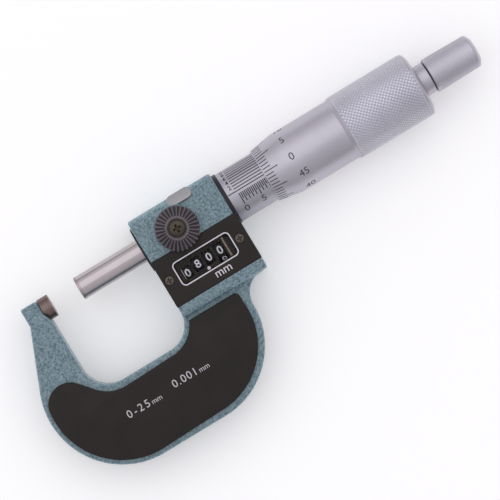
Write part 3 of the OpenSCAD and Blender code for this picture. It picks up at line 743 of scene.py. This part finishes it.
def lettering(text, height, bold=0.0, spacing=1.0):
    """Flat faces of a text, with its lower left corner at the origin and a given digit height."""
    flat = glyphs(text, bold, spacing)
    left = extent(flat)[0]

    def scaled(x, y, z):
        return ((x - left) * height / DIGIT_HEIGHT, y * height / DIGIT_HEIGHT, z)
    return tidy(flat.mapped(scaled))


def moved(shape, dx=0.0, dy=0.0):
    return shape.mapped(lambda x, y, z: (x + dx, y + dy, z))


def centred(flat, x, y):
    x0, x1 = extent(flat)
    y0, y1 = extent(flat, 1)
    return moved(flat, x - (x0 + x1) / 2, y - (y0 + y1) / 2)


def rect(x0, x1, y0, y1):
    return Shape([(x0, y0, 0.0), (x1, y0, 0.0), (x1, y1, 0.0), (x0, y1, 0.0)], [(0, 1, 2, 3)])


def ring_face(outer, inner):
    """The flat band between two outlines of equally many points."""
    n = len(outer)
    verts = [(*p, 0.0) for p in outer] + [(*p, 0.0) for p in inner]
    return Shape(verts, [(i, (i + 1) % n, n + (i + 1) % n, n + i) for i in range(n)])


def round_x(radius_at, centre=(0.0, 0.0)):
    """Places flat marks on a surface turned about X: y is an arc length at the widest radius, counted
    upwards from the front."""
    widest = radius_at(None)

    def place(x, y, height):
        angle = y / widest
        r = radius_at(x) + height
        return (x, centre[0] + r * math.sin(angle), centre[1] + r * math.cos(angle))
    return place


# ---------- anvil and spindle

TIP = span("anvil_tip")[1][0] - span("anvil_tip")[0][0]
SHANK_R = 2.4
ANVIL_X0 = span("anvil")[0][0]
# The anvil and its face use the darker chrome with painted shade.
put("anvil_body", lathe(soften([(ANVIL_X0, 0, 0), (ANVIL_X0, SHANK_R, 0.3), (SHANK_X1, SHANK_R, 0),
                                (SHANK_X1, SPINDLE_R, 0.15), (-TIP, SPINDLE_R, 0.04), (-TIP, 0, 0)])),
    SHADED, "frame", ["anvil"])
put("anvil_face", tube("anvil_tip", 0, (0, 0.04, 0.1, 0)), SHADED, "frame", ["anvil_tip"])
put("spindle_face", tube("spindle_tip", 0, (0, 0.1, 0.04, 0)), CARBIDE, "spindle",
    ["spindle_tip"])

# ---------- counter

COVER_TOP = COVER_HIGH[2]
GLASS_LOW, GLASS_HIGH = span("counter_window")
MASK_LOW, MASK_HIGH = span("digit_mask")
WINDOW = (32.0, 48.05, -13.4, -7.35)
MASK_TOP = MASK_HIGH[2]
COVER_HOLE = 1.25
WHEEL_R = 4.9
WHEEL_X = (34.25, 37.6, 40.95, 44.3)


def front_of(low, high, radius):
    """The rounded outline of a box seen from the front."""
    return rounded_rect(low[0], high[0], low[1], high[1], radius)


put("cover_plate", plate(
    front_of(COVER_LOW, COVER_HIGH, 0.25),
    [rounded_rect(*WINDOW, 1.0)] + [circle(*at, COVER_HOLE) for at in SCREW_AT],
    SEAT, COVER_TOP, 0.2, 0.08), BLACK, "frame", ["counter_cover"])
put("window_glass", plate(
    front_of(GLASS_LOW, GLASS_HIGH, 0.95), [],
    GLASS_LOW[2], GLASS_HIGH[2], 0.12), GLASS, "frame", ["counter_window"])
SLOT_HALF = 1.25
SLOTS_Y = ((-12.45, -9.35), (-12.2, -8.5), (-12.2, -8.5), (-13.35, -8.4))
BLADE_SLIT = (46.04, 46.56, -13.11, -7.74)
MASK_HOLES = [rounded_rect(x - SLOT_HALF, x + SLOT_HALF, *y, 0.15) for x, y in zip(WHEEL_X, SLOTS_Y)]
MASK_HOLES.append(rounded_rect(*BLADE_SLIT, 0.01))
put("window_mask", plate(
    front_of(MASK_LOW, MASK_HIGH, 0.45), MASK_HOLES,
    MASK_LOW[2], MASK_TOP, 0.04, 0.04), BLACK, "frame", ["digit_mask"])


def flat_at(z):
    return lambda x, y, height: (x, y, z + height)


PRINT = (31.62, 48.5, -13.8, -6.97)
LINE = 0.29
UNIT_AT, UNIT_SIZE = (42.5, -15.4), 2.15
DOT_AT, DOT_R = (39.65, -12.85), 0.45
inner = (PRINT[0] + LINE, PRINT[1] - LINE, PRINT[2] + LINE, PRINT[3] - LINE)
cover_print = ring_face(rounded_rect(*PRINT, 1.3), rounded_rect(*inner, 1.0))
unit_print = centred(lettering("mm", UNIT_SIZE), *UNIT_AT)
put("cover_print", decal(cover_print, flat_at(COVER_TOP)).add(decal(unit_print, flat_at(COVER_TOP))),
    WHITE, "frame")
dot = circle(*DOT_AT, DOT_R, 24)
put("decimal_dot", decal(Shape([(*p, 0.0) for p in dot], [tuple(range(len(dot)))]), flat_at(MASK_TOP)),
    WHITE, "frame")
PRINT_HEIGHT, UNIT_HEIGHT = 2.0, 1.35


def printed(number, spacing, unit, x0, x1, y):
    """A number and its smaller unit between two places, on one base line."""
    figures = lettering(number, PRINT_HEIGHT, 0.0, spacing)
    letters = lettering(unit, UNIT_HEIGHT)
    base = y - PRINT_HEIGHT / 2
    return moved(figures, x0, base).add(moved(letters, x1 - extent(letters)[1], base))


ranges = printed("0-25", 1.32, "mm", 2.1, 12.1, -34.3)
ranges.add(printed("0.001", 1.15, "mm", 16.1, 26.7, -33.6))
put("range_print", decal(ranges, flat_at(span("front_grip_plate")[1][2])), PALE, "frame")

WHEELS = ("tens", "units", "tenths", "hundredths")
WHEEL_START = (-13.0, -4.5, -3.8, -3.2)
SHOWN = (0, 8, 0, 0)
DIGIT_STEP, DIGIT_SIZE, DIGIT_BOLD, DIGIT_SHIFT = 36.0, 2.05, 0.012, 0.08
WHEEL_SLICE = 0.4
# Painted highlight: where a thin white band runs round the tens wheel, standing in for the glint on its
# left rim.
TENS_RIM_GLINT = (-1.12, -0.98)
on_wheel = round_x(lambda _: WHEEL_R, COUNTER)
for name, x, shown, start in zip(WHEELS, WHEEL_X, SHOWN, WHEEL_START):
    digits = Shape()
    for digit in range(10):
        flat = centred(lettering(str(digit), DIGIT_SIZE, DIGIT_BOLD), x + DIGIT_SHIFT, 0)
        angle = math.radians(DIGIT_STEP * (digit - shown) + start)
        digits.add(decal(moved(sliced(flat, WHEEL_SLICE), 0, angle * WHEEL_R), on_wheel))
    # The tens wheel gets the painted glint band near its left rim.
    if name == "tens":
        line = rect(x + TENS_RIM_GLINT[0], x + TENS_RIM_GLINT[1], -math.pi * WHEEL_R, math.pi * WHEEL_R)
        digits.add(decal(sliced(line, WHEEL_SLICE), on_wheel))
    put(f"digits_{name}", digits, DIGIT, f"wheel_{name}")

# ---------- screws


def d_cross(x, y, z, reach, width, depth, top):
    """A tapered cross recess, open at the top."""
    fall = (top - z) / depth
    half = width / 2 * (1.1 - 0.4 * fall)
    arm = reach * (1.05 - 0.55 * fall)
    bars = np.minimum(np.maximum(np.abs(x) - arm, np.abs(y) - half),
                      np.maximum(np.abs(y) - arm, np.abs(x) - half))
    floor = top - depth * (1.2 - 0.5 * np.hypot(x, y) / reach)
    return np.maximum(bars, floor - z)


def screw_head(radius, z0, z1, reach, width, depth, dome, step):
    """A round head with a soft edge and a cross recess, centred on Z."""
    def distance(x, y, z):
        r = np.hypot(x, y)
        sag = dome * (r / radius) ** 2
        body = d_corner(r - radius, d_slab(z + sag, z0 + sag, z1), 0.1)
        body = np.maximum(body, z0 - z)
        return cut(body, d_cross(x, y, z, reach, width, depth, z1))
    edge = np.array([radius + 2 * step, radius + 2 * step, 0])
    return surface(distance, -edge + [0, 0, z0 - 2 * step], edge + [0, 0, z1 + 2 * step], step)


SCREW_HEAD_Z0, LOCK_HEAD_DEPTH = 7.42, 1.0
COVER_SCREW = {"reach": 0.75, "width": 0.28, "depth": 0.45, "dome": 0.12, "step": 0.06}
LOCK_SCREW = {"reach": 1.15, "width": 0.5, "depth": 0.7, "dome": 0.42, "step": 0.08}
screws = Shape()
for x, y in SCREW_AT:
    screws.add(moved(screw_head(SCREW_R, SCREW_HEAD_Z0, SCREWS_HIGH[2], **COVER_SCREW), x, y))
put("cover_screw_heads", screws, SCREW, "frame", ["cover_screws"], sharp=40)

LOCK_SCREW_LOW, LOCK_SCREW_HIGH = span("lock_knob_screw")
LOCK_SCREW_R = (LOCK_SCREW_HIGH[0] - LOCK_SCREW_LOW[0]) / 2
LOCK_SCREW_TOP = LOCK_SCREW_HIGH[2]
lock_screw = screw_head(LOCK_SCREW_R, LOCK_SCREW_TOP - LOCK_HEAD_DEPTH, LOCK_SCREW_TOP, **LOCK_SCREW)
put("lock_screw_head", moved(lock_screw, LOCK_X),
    HEAD, "lock_knob", ["lock_knob_screw"], sharp=40)

# ---------- lock knob

KNOB_Z0, KNOB_Z1 = LOCK_LOW[2], LOCK_HIGH[2]
KNOB_TEETH = 30
KNOB_GROOVES = ((0.0, 0.0, 0.0, 0.7, 1.0, 1.0, 1.0, 0.7), KNOB_TEETH)
GROOVE_PHASE, GROOVE_R, GROOVE_Z = (0.4, 0.9), 3.1, 0.3
KNOB_RECESS_R, KNOB_RECESS_Z = 2.6, 10.7
STEM_BORE = 1.21
knob = [
    (KNOB_Z0, STEM_BORE), (KNOB_RECESS_Z, STEM_BORE), (KNOB_RECESS_Z, KNOB_RECESS_R),
    (KNOB_Z1 - 0.06, KNOB_RECESS_R), (KNOB_Z1, KNOB_RECESS_R + 0.06), (KNOB_Z1, KNOB_RECESS_R + 0.3),
    (KNOB_Z1 - 0.05, 2.95, 0, 0), (KNOB_Z1 - 0.18, 3.2, -0.4, 0), (KNOB_Z1 - 0.75, 4.35, -0.65, 0),
    (KNOB_Z0 + 1.55, LOCK_R - 0.35, -0.65, -0.1), (KNOB_Z0 + 1.35, LOCK_R - 0.08, -0.5, -0.25),
    (KNOB_Z0 + 1.15, LOCK_R, -0.3, -0.3), (KNOB_Z0 + 0.3, LOCK_R, 0, -0.3),
    (KNOB_Z0 + 0.08, LOCK_R - 0.12, 0, -0.2), (KNOB_Z0, LOCK_R - 0.35, 0, 0),
]


# Picks the faces that get the painted shade in the grooves.
def in_groove(centre):
    """Whether a face of the knob, by its centre in millimetres, lies in a groove."""
    x, y, z = centre
    phase = math.atan2(y, x - LOCK_X) * KNOB_TEETH / (2 * math.pi) % 1.0
    outside = z > KNOB_Z0 + GROOVE_Z and math.hypot(x - LOCK_X, y) > GROOVE_R
    return outside and GROOVE_PHASE[0] < phase < GROOVE_PHASE[1]


def second_material(obj, mat, chosen):
    """Gives another material to the faces whose centre, in millimetres, is chosen."""
    obj.data.materials.append(mat)
    for face in obj.data.polygons:
        if chosen(face.center / MM):
            face.material_index = 1


knob_body = put("lock_knob_body", upright(lathe(knob, grooves=KNOB_GROOVES), LOCK_X, 0),
                BLACK_KNOB, "lock_knob", ["lock_knob"])
# The groove faces take the darker material: painted shade in the grooves.
second_material(knob_body, GROOVE_PAINTED_SHADE, in_groove)

# ---------- rings and plug

SEAL_BORE, SHOULDER_BORE = SPINDLE_R + 0.08, 6.5
put("seal_ring", tube("spindle_seal_ring", SEAL_BORE, (0.1, 0.25, 0, 0)),
    BLACK_RING, "frame", ["spindle_seal_ring"])
put("shoulder_ring", tube("sleeve_shoulder_ring", SHOULDER_BORE, (0, 0, 0.2, 0)),
    BLACK_RING, "frame", ["sleeve_shoulder_ring"])
PLUG_AT = (42.45, 6.75, 7.665)
PLUG_LEAN = math.radians(30)
PLUG_SIDES, PLUG_ROUND, PLUG_Z = (-3.5, 3.5, -1.65, 1.65), 1.4, (-1.3, 0.2)


def on_plug(x, y, z):
    """The plug leans over the housing's rounded upper edge."""
    c, s = math.cos(PLUG_LEAN), math.sin(PLUG_LEAN)
    return (PLUG_AT[0] + x, PLUG_AT[1] + c * y + s * z, PLUG_AT[2] - s * y + c * z)


put("plug_body", plate(rounded_rect(*PLUG_SIDES, PLUG_ROUND), [], *PLUG_Z, 0.15).mapped(on_plug),
    PLUG, "frame", ["top_plug"])

# ---------- sleeve

SLEEVE_LOW, SLEEVE_HIGH = span("graduated_sleeve")
SLEEVE_R = SLEEVE_HIGH[1]
SLEEVE_BORE = 6.16
put("sleeve_tube", tube("graduated_sleeve", SLEEVE_BORE, (0, 0.1, 0.1, 0)),
    BARREL, "frame", ["graduated_sleeve"])
THIMBLE_LOW, THIMBLE_HIGH = span("thimble")
THIMBLE_X0 = THIMBLE_LOW[0]
READING = 8.0
SCALE_X0, HALF_MILLIMETRES = THIMBLE_X0 - READING, 50
INDEX, ZERO = math.radians(3.0), math.radians(4.9)
MARK, TICK = 0.27, 0.29
INDEX_X0, MARKS_X1 = SLEEVE_LOW[0] + 0.2, 82.0
TICK_TOP, TICK_SHORT, TICK_LONG, TICK_TENTH = -0.4, -2.05, -3.0, -3.5
SCALE_NUMBER_Y, SCALE_NUMBER_SIZE = -4.7, 2.0
VERNIER_STEP = math.radians(6.48)
VERNIER_X0, VERNIER_LABEL_X, VERNIER_SIZE, VERNIER_BOLD = 55.4, 54.65, 1.15, 0.015


def seen(y):
    """The arc length, up from the front, of a point of the sleeve seen y above the axis."""
    return SLEEVE_R * math.asin(y / SLEEVE_R)


def sleeve_marks():
    """The index line, the 0.5 mm scale under it, and the vernier lines over it."""
    marks = []
    for k in range(11):
        y = (INDEX + k * VERNIER_STEP) * SLEEVE_R
        marks.append(rect(VERNIER_X0 if k else INDEX_X0, MARKS_X1, y - MARK / 2, y + MARK / 2))
    for k in range(HALF_MILLIMETRES + 1):
        reach = TICK_TENTH if k % 10 == 0 else TICK_LONG if k % 2 == 0 else TICK_SHORT
        x = SCALE_X0 + k / 2
        marks.append(rect(x - TICK / 2, x + TICK / 2, seen(reach), seen(TICK_TOP)))
    for k in range(0, HALF_MILLIMETRES // 2 + 1, 5):
        label = lettering(str(k), SCALE_NUMBER_SIZE)
        marks.append(centred(label, SCALE_X0 + k, seen(SCALE_NUMBER_Y)))
    for k, digit in enumerate("24680", start=1):
        label = lettering(digit, VERNIER_SIZE, VERNIER_BOLD)
        marks.append(centred(label, VERNIER_LABEL_X, (INDEX + 2 * k * VERNIER_STEP) * SLEEVE_R))
    return marks


def wrapped(marks, radius_at, step=0.35):
    """Flat marks as thin layers round a turned surface."""
    shape = Shape()
    for mark in marks:
        shape.add(decal(sliced(mark, step), round_x(radius_at)))
    return shape


put("sleeve_scale", wrapped(sleeve_marks(), lambda _: SLEEVE_R), DARK, "frame")

# ---------- thimble

LIP_R, BARREL_X0, BARREL_R = 7.35, 70.45, 8.5
LIP_BORE, THIMBLE_BORE, STUD_BORE = 7.15, 7.6, 2.2
KNURL_X0, KNURL_X1, KNURL_R = 87.75, 110.65, THIMBLE_HIGH[1]
TAPER = ((104.0, 3.11), (109.5, 2.51))
KNURL_FIRST, KNURL_LAST = KNURL_X0 + 0.6, KNURL_X1 - 1.1
KNURL_ROUND, KNURL_ALONG, KNURL_DEEP = 53, 20, 0.22


def thimble_radius(x):
    if x is None:
        return BARREL_R
    return LIP_R + (BARREL_R - LIP_R) * min(1.0, max(0.0, (x - THIMBLE_X0) / (BARREL_X0 - THIMBLE_X0)))


def turned_ring(x, radius, count):
    angles = np.linspace(0, 2 * math.pi, count, endpoint=False)
    radius = np.broadcast_to(radius, count)
    return np.stack([np.full(count, x), radius * np.cos(angles), radius * np.sin(angles)], 1)


def knurled(x0, x1, radius, deep, around, along):
    """A skin of flat-topped diamonds between two families of crossed grooves, on a grid of quarter
    pitches. A groove's floor lies where a + i, or a - i, is a multiple of four."""
    rows, count = 4 * along + 1, 4 * around
    a, i = np.mgrid[0:rows, 0:count]
    land = ((a + i) % 2 == 1) | (((a + i) % 4 == 2) & ((a - i) % 4 == 2))
    land[[0, -1]] = False
    shape = Shape()
    for row in range(rows):
        x = x0 + (x1 - x0) * row / (rows - 1)
        ring = turned_ring(x, np.where(land[row], radius, radius - deep), count)
        shape.verts += [tuple(map(float, p)) for p in ring]
    for row in range(rows - 1):
        for k in range(count):
            corners = [(row, k), (row, (k + 1) % count), (row + 1, (k + 1) % count), (row + 1, k)]
            first = 0 if sum(corners[0]) % 2 else 1
            on_land = any(sum(c) % 4 == 2 and (c[0] - c[1]) % 4 == 2 for c in corners)
            if not on_land:
                first = 1 - first
            p, q, r, t = [c[0] * count + c[1] for c in corners[first:] + corners[:first]]
            shape.faces += [(p, q, r), (p, r, t)]
    return shape


def thimble_shape():
    """The thimble, with the knurl as a skin between its two rims."""
    count = 4 * KNURL_ROUND
    base = KNURL_R - KNURL_DEEP
    first, last = KNURL_FIRST, KNURL_LAST
    left = soften([(THIMBLE_X0, LIP_BORE, 0), (THIMBLE_X0, LIP_R, 0.06), (BARREL_X0, BARREL_R, 0.4),
                   (KNURL_X0 - 0.35, BARREL_R, 0), (KNURL_X0 + 0.4, KNURL_R - 0.03, 0.1),
                   (first, base, 0), (first, LIP_BORE, 0)])[:-1]
    right = soften([(last, 0, 0), (last, base, 0), (last + 0.3, KNURL_R - 0.05, 0.1),
                    (KNURL_X1 - 0.35, KNURL_R - 0.5, 0.4), (KNURL_X1, KNURL_R - 1.4, 0.1),
                    (KNURL_X1, 0, 0)])[1:-1]
    inside = [(KNURL_X1, STUD_BORE), (TAPER[1][0], STUD_BORE), TAPER[1], TAPER[0],
              (TAPER[0][0], THIMBLE_BORE), (THIMBLE_X0 + 2.0, THIMBLE_BORE), (THIMBLE_X0 + 1.9, LIP_BORE)]
    shape = stacked([turned_ring(x, r, count) for x, r in left], closed=False)
    shape.add(knurled(first, last, KNURL_R, KNURL_DEEP, KNURL_ROUND, KNURL_ALONG))
    rest = right + inside + [left[0]]
    return tidy(shape.add(stacked([turned_ring(x, r, count) for x, r in rest], closed=False)))


def on_knurl(centre):
    """Whether a face of the thimble, by its centre in millimetres, lies on the knurl."""
    x, y, z = centre
    return KNURL_FIRST < x < KNURL_LAST and math.hypot(y, z) > BARREL_R - 0.2


thimble_body = put("thimble_body", thimble_shape(), CHROME, "spindle", ["thimble"],
                   sharp=25)
second_material(thimble_body, KNURLED, on_knurl)
THIMBLE_LINES, LINE_X0, LINE_X1, LONG_LINE_X1 = 50, THIMBLE_X0 + 0.25, 66.6, 68.25
NUMBER_X, NUMBER_SIZE = 71.8, 1.98


def thimble_marks():
    """A line for each hundredth of a millimetre, with a long one and a number at every fifth."""
    marks = []
    for k in range(THIMBLE_LINES):
        y = (ZERO + k * 2 * math.pi / THIMBLE_LINES) * BARREL_R
        fifth = k % 5 == 0
        marks.append(rect(LINE_X0, LONG_LINE_X1 if fifth else LINE_X1, y - MARK / 2, y + MARK / 2))
        if fifth:
            flat = lettering(str(k), NUMBER_SIZE)
            low, high = extent(flat, 1)
            marks.append(moved(flat, NUMBER_X, y - (low + high) / 2))
    return marks


put("thimble_scale", wrapped(thimble_marks(), thimble_radius), DARK, "spindle")

# ---------- ratchet stop

TAIL_X0, TAIL_R = 101.2, 1.3
COLLAR_X0, COLLAR_R = 109.55, 2.1
NECK_R, NECK_X1 = 4.25, 113.7
STUD_R, STUD_X1 = 1.6, 124.05
put("ratchet_neck", lathe(soften([
    (TAIL_X0, 0, 0), (TAIL_X0, TAIL_R, 0.1), (COLLAR_X0, TAIL_R, 0), (COLLAR_X0, COLLAR_R, 0),
    (KNURL_X1, COLLAR_R, 0), (KNURL_X1, NECK_R, 0.1), (NECK_X1, NECK_R, 0.2), (NECK_X1, STUD_R, 0),
    (STUD_X1, STUD_R, 0.1), (STUD_X1, 0, 0)])),
    CHROME, "spindle", ["ratchet_stud"])
KNOB_HIGH = span("ratchet_knob")[1]
RATCHET_R0, RATCHET_R1 = KNOB_HIGH[1], 4.53
RATCHET_X0, RATCHET_X1 = 113.9, KNOB_HIGH[0]
FLUTES = ((0.0, 0.5, 1.0, 0.5), 48)
FLUTE = -0.1
END_BORE, SHELL_BORE = 3.0, 3.7
WEB_X0, WEB_X1 = 119.64, 124.0
put("ratchet_cap", lathe([
    (RATCHET_X0, SHELL_BORE), (RATCHET_X0, RATCHET_R0 - 0.3), (RATCHET_X0 + 0.08, RATCHET_R0 - 0.12),
    (RATCHET_X0 + 0.25, RATCHET_R0), (RATCHET_X0 + 1.0, RATCHET_R0 - 0.02),
    (RATCHET_X0 + 1.15, RATCHET_R0 - 0.03, 0, FLUTE), (RATCHET_X1 - 1.7, RATCHET_R1 + 0.03, 0, FLUTE),
    (RATCHET_X1 - 1.5, RATCHET_R1 + 0.02), (RATCHET_X1 - 1.1, RATCHET_R1),
    (RATCHET_X1 - 0.9, RATCHET_R1 - 0.06), (RATCHET_X1 - 0.73, RATCHET_R1 - 0.2),
    (RATCHET_X1 - 0.6, RATCHET_R1 - 0.42), (RATCHET_X1 - 0.28, RATCHET_R1 - 0.95),
    (RATCHET_X1, RATCHET_R1 - 1.45), (RATCHET_X1, END_BORE + 0.05),
    (RATCHET_X1 - 0.05, END_BORE), (WEB_X1, END_BORE), (WEB_X1, STUD_R + 0.04), (WEB_X0, STUD_R + 0.04),
    (WEB_X0, SHELL_BORE)], grooves=FLUTES), CHROME, "ratchet_knob", ["ratchet_knob"])

# ---------- the CAD pieces left showing

KEPT = {
    GROUND: ["spindle"],
    DULL_BRASS: ["counter_bracket"],
    BRASS: ["front_bush", "lock_bush", "drive_gear", "idler_gear", "idler_pinion",
            "counter_gear", "transfer_pinion_1", "transfer_pinion_2", "transfer_pinion_3", "lock_pad"],
    STEEL: ["inner_sleeve", "adjusting_nut", "counter_shaft", "idler_arbor", "transfer_shaft", "drive_key",
            "lock_stem", "ratchet_spring", "ratchet_clutch"],
    SCREW: ["ratchet_screw"],
    WHEEL: ["number_wheel_tens", "number_wheel_units", "number_wheel_tenths", "number_wheel_hundredths"],
}
for finish, names in KEPT.items():
    for name in names:
        mesh = bpy.data.objects[name].data
        mesh.materials.clear()
        mesh.materials.append(finish)

# ---------- camera, light and floor

VIEW_WIDTH = 0.1292
VIEW_MIDDLE = Vector((0.05096, -0.01433, 0.0))
VIEW_TILT = math.radians(-31.22)
SKY_BASE, SKY_BY_SIDE, SKY_BY_HEIGHT = 0.62, 0.12, 0.2
SKY_COLOUR = (0.98, 0.96, 1.0, 1.0)


def look():
    """A long lens square to the front, turned so that the spindle climbs to the right."""
    data = bpy.data.cameras.new("camera")
    data.lens, data.sensor_width = 200.0, 36.0
    data.clip_start, data.clip_end = 0.01, 10.0
    camera = in_scene("camera", data)
    camera.location = VIEW_MIDDLE + Vector((0, 0, VIEW_WIDTH * data.lens / data.sensor_width))
    camera.rotation_euler = (0.0, 0.0, VIEW_TILT)
    bpy.context.scene.camera = camera


def lay_floor():
    z = FRAME_LOW[2] * MM
    mesh = bpy.data.meshes.new("studio_floor")
    mesh.from_pydata([(-3, -3, z), (3, -3, z), (3, 3, z), (-3, 3, z)], [], [(0, 1, 2, 3)])
    mesh.materials.append(material("floor_pale", grey(0.93), 0.7, Emission_Strength=0.2))
    floor = in_scene("studio_floor", mesh)


def lamp(name, location, target, size, power):
    data = bpy.data.lights.new(name, "AREA")
    data.shape = "RECTANGLE"
    data.size, data.size_y = size
    data.energy = power
    obj = in_scene(name, data)
    obj.location = location
    obj.rotation_euler = (Vector(target) - Vector(location)).to_track_quat("-Z", "Y").to_euler()


def light_world():
    """A pale room, brighter overhead and on the far side, with a darker strip along the horizon."""
    world = bpy.data.worlds.new("studio")
    bpy.context.scene.world = world
    world.use_nodes = True
    place = node(world, "ShaderNodeTexCoord")
    split = node(world, "ShaderNodeSeparateXYZ")
    wire(world, place, "Generated", split, "Vector")
    side = node(world, "ShaderNodeMath", {"operation": "MULTIPLY_ADD"}, {1: SKY_BY_SIDE, 2: SKY_BASE})
    wire(world, split, "Y", side, 0)
    height = node(world, "ShaderNodeMath", {"operation": "MULTIPLY_ADD"}, {1: SKY_BY_HEIGHT})
    wire(world, split, "Z", height, 0)
    wire(world, side, 0, height, 2)
    horizon = node(world, "ShaderNodeMapRange", {"interpolation_type": "SMOOTHSTEP"},
                   {"From Min": 0.02, "From Max": 0.28, "To Min": 0.3, "To Max": 1.0})
    wire(world, split, "Z", horizon, "Value")
    level = node(world, "ShaderNodeMath", {"operation": "MULTIPLY"})
    wire(world, height, 0, level, 0)
    wire(world, horizon, "Result", level, 1)
    background = world.node_tree.nodes["Background"]
    background.inputs["Color"].default_value = SKY_COLOUR
    wire(world, level, 0, background, "Strength")


look()
lay_floor()
light_world()
lamp("top_softbox", location=(0.05, 0.33, 0.93), target=(0.05, 0.0, 0.0), size=(1.6, 1.1), power=2.25)
bpy.context.scene.view_settings.view_transform = "Standard"
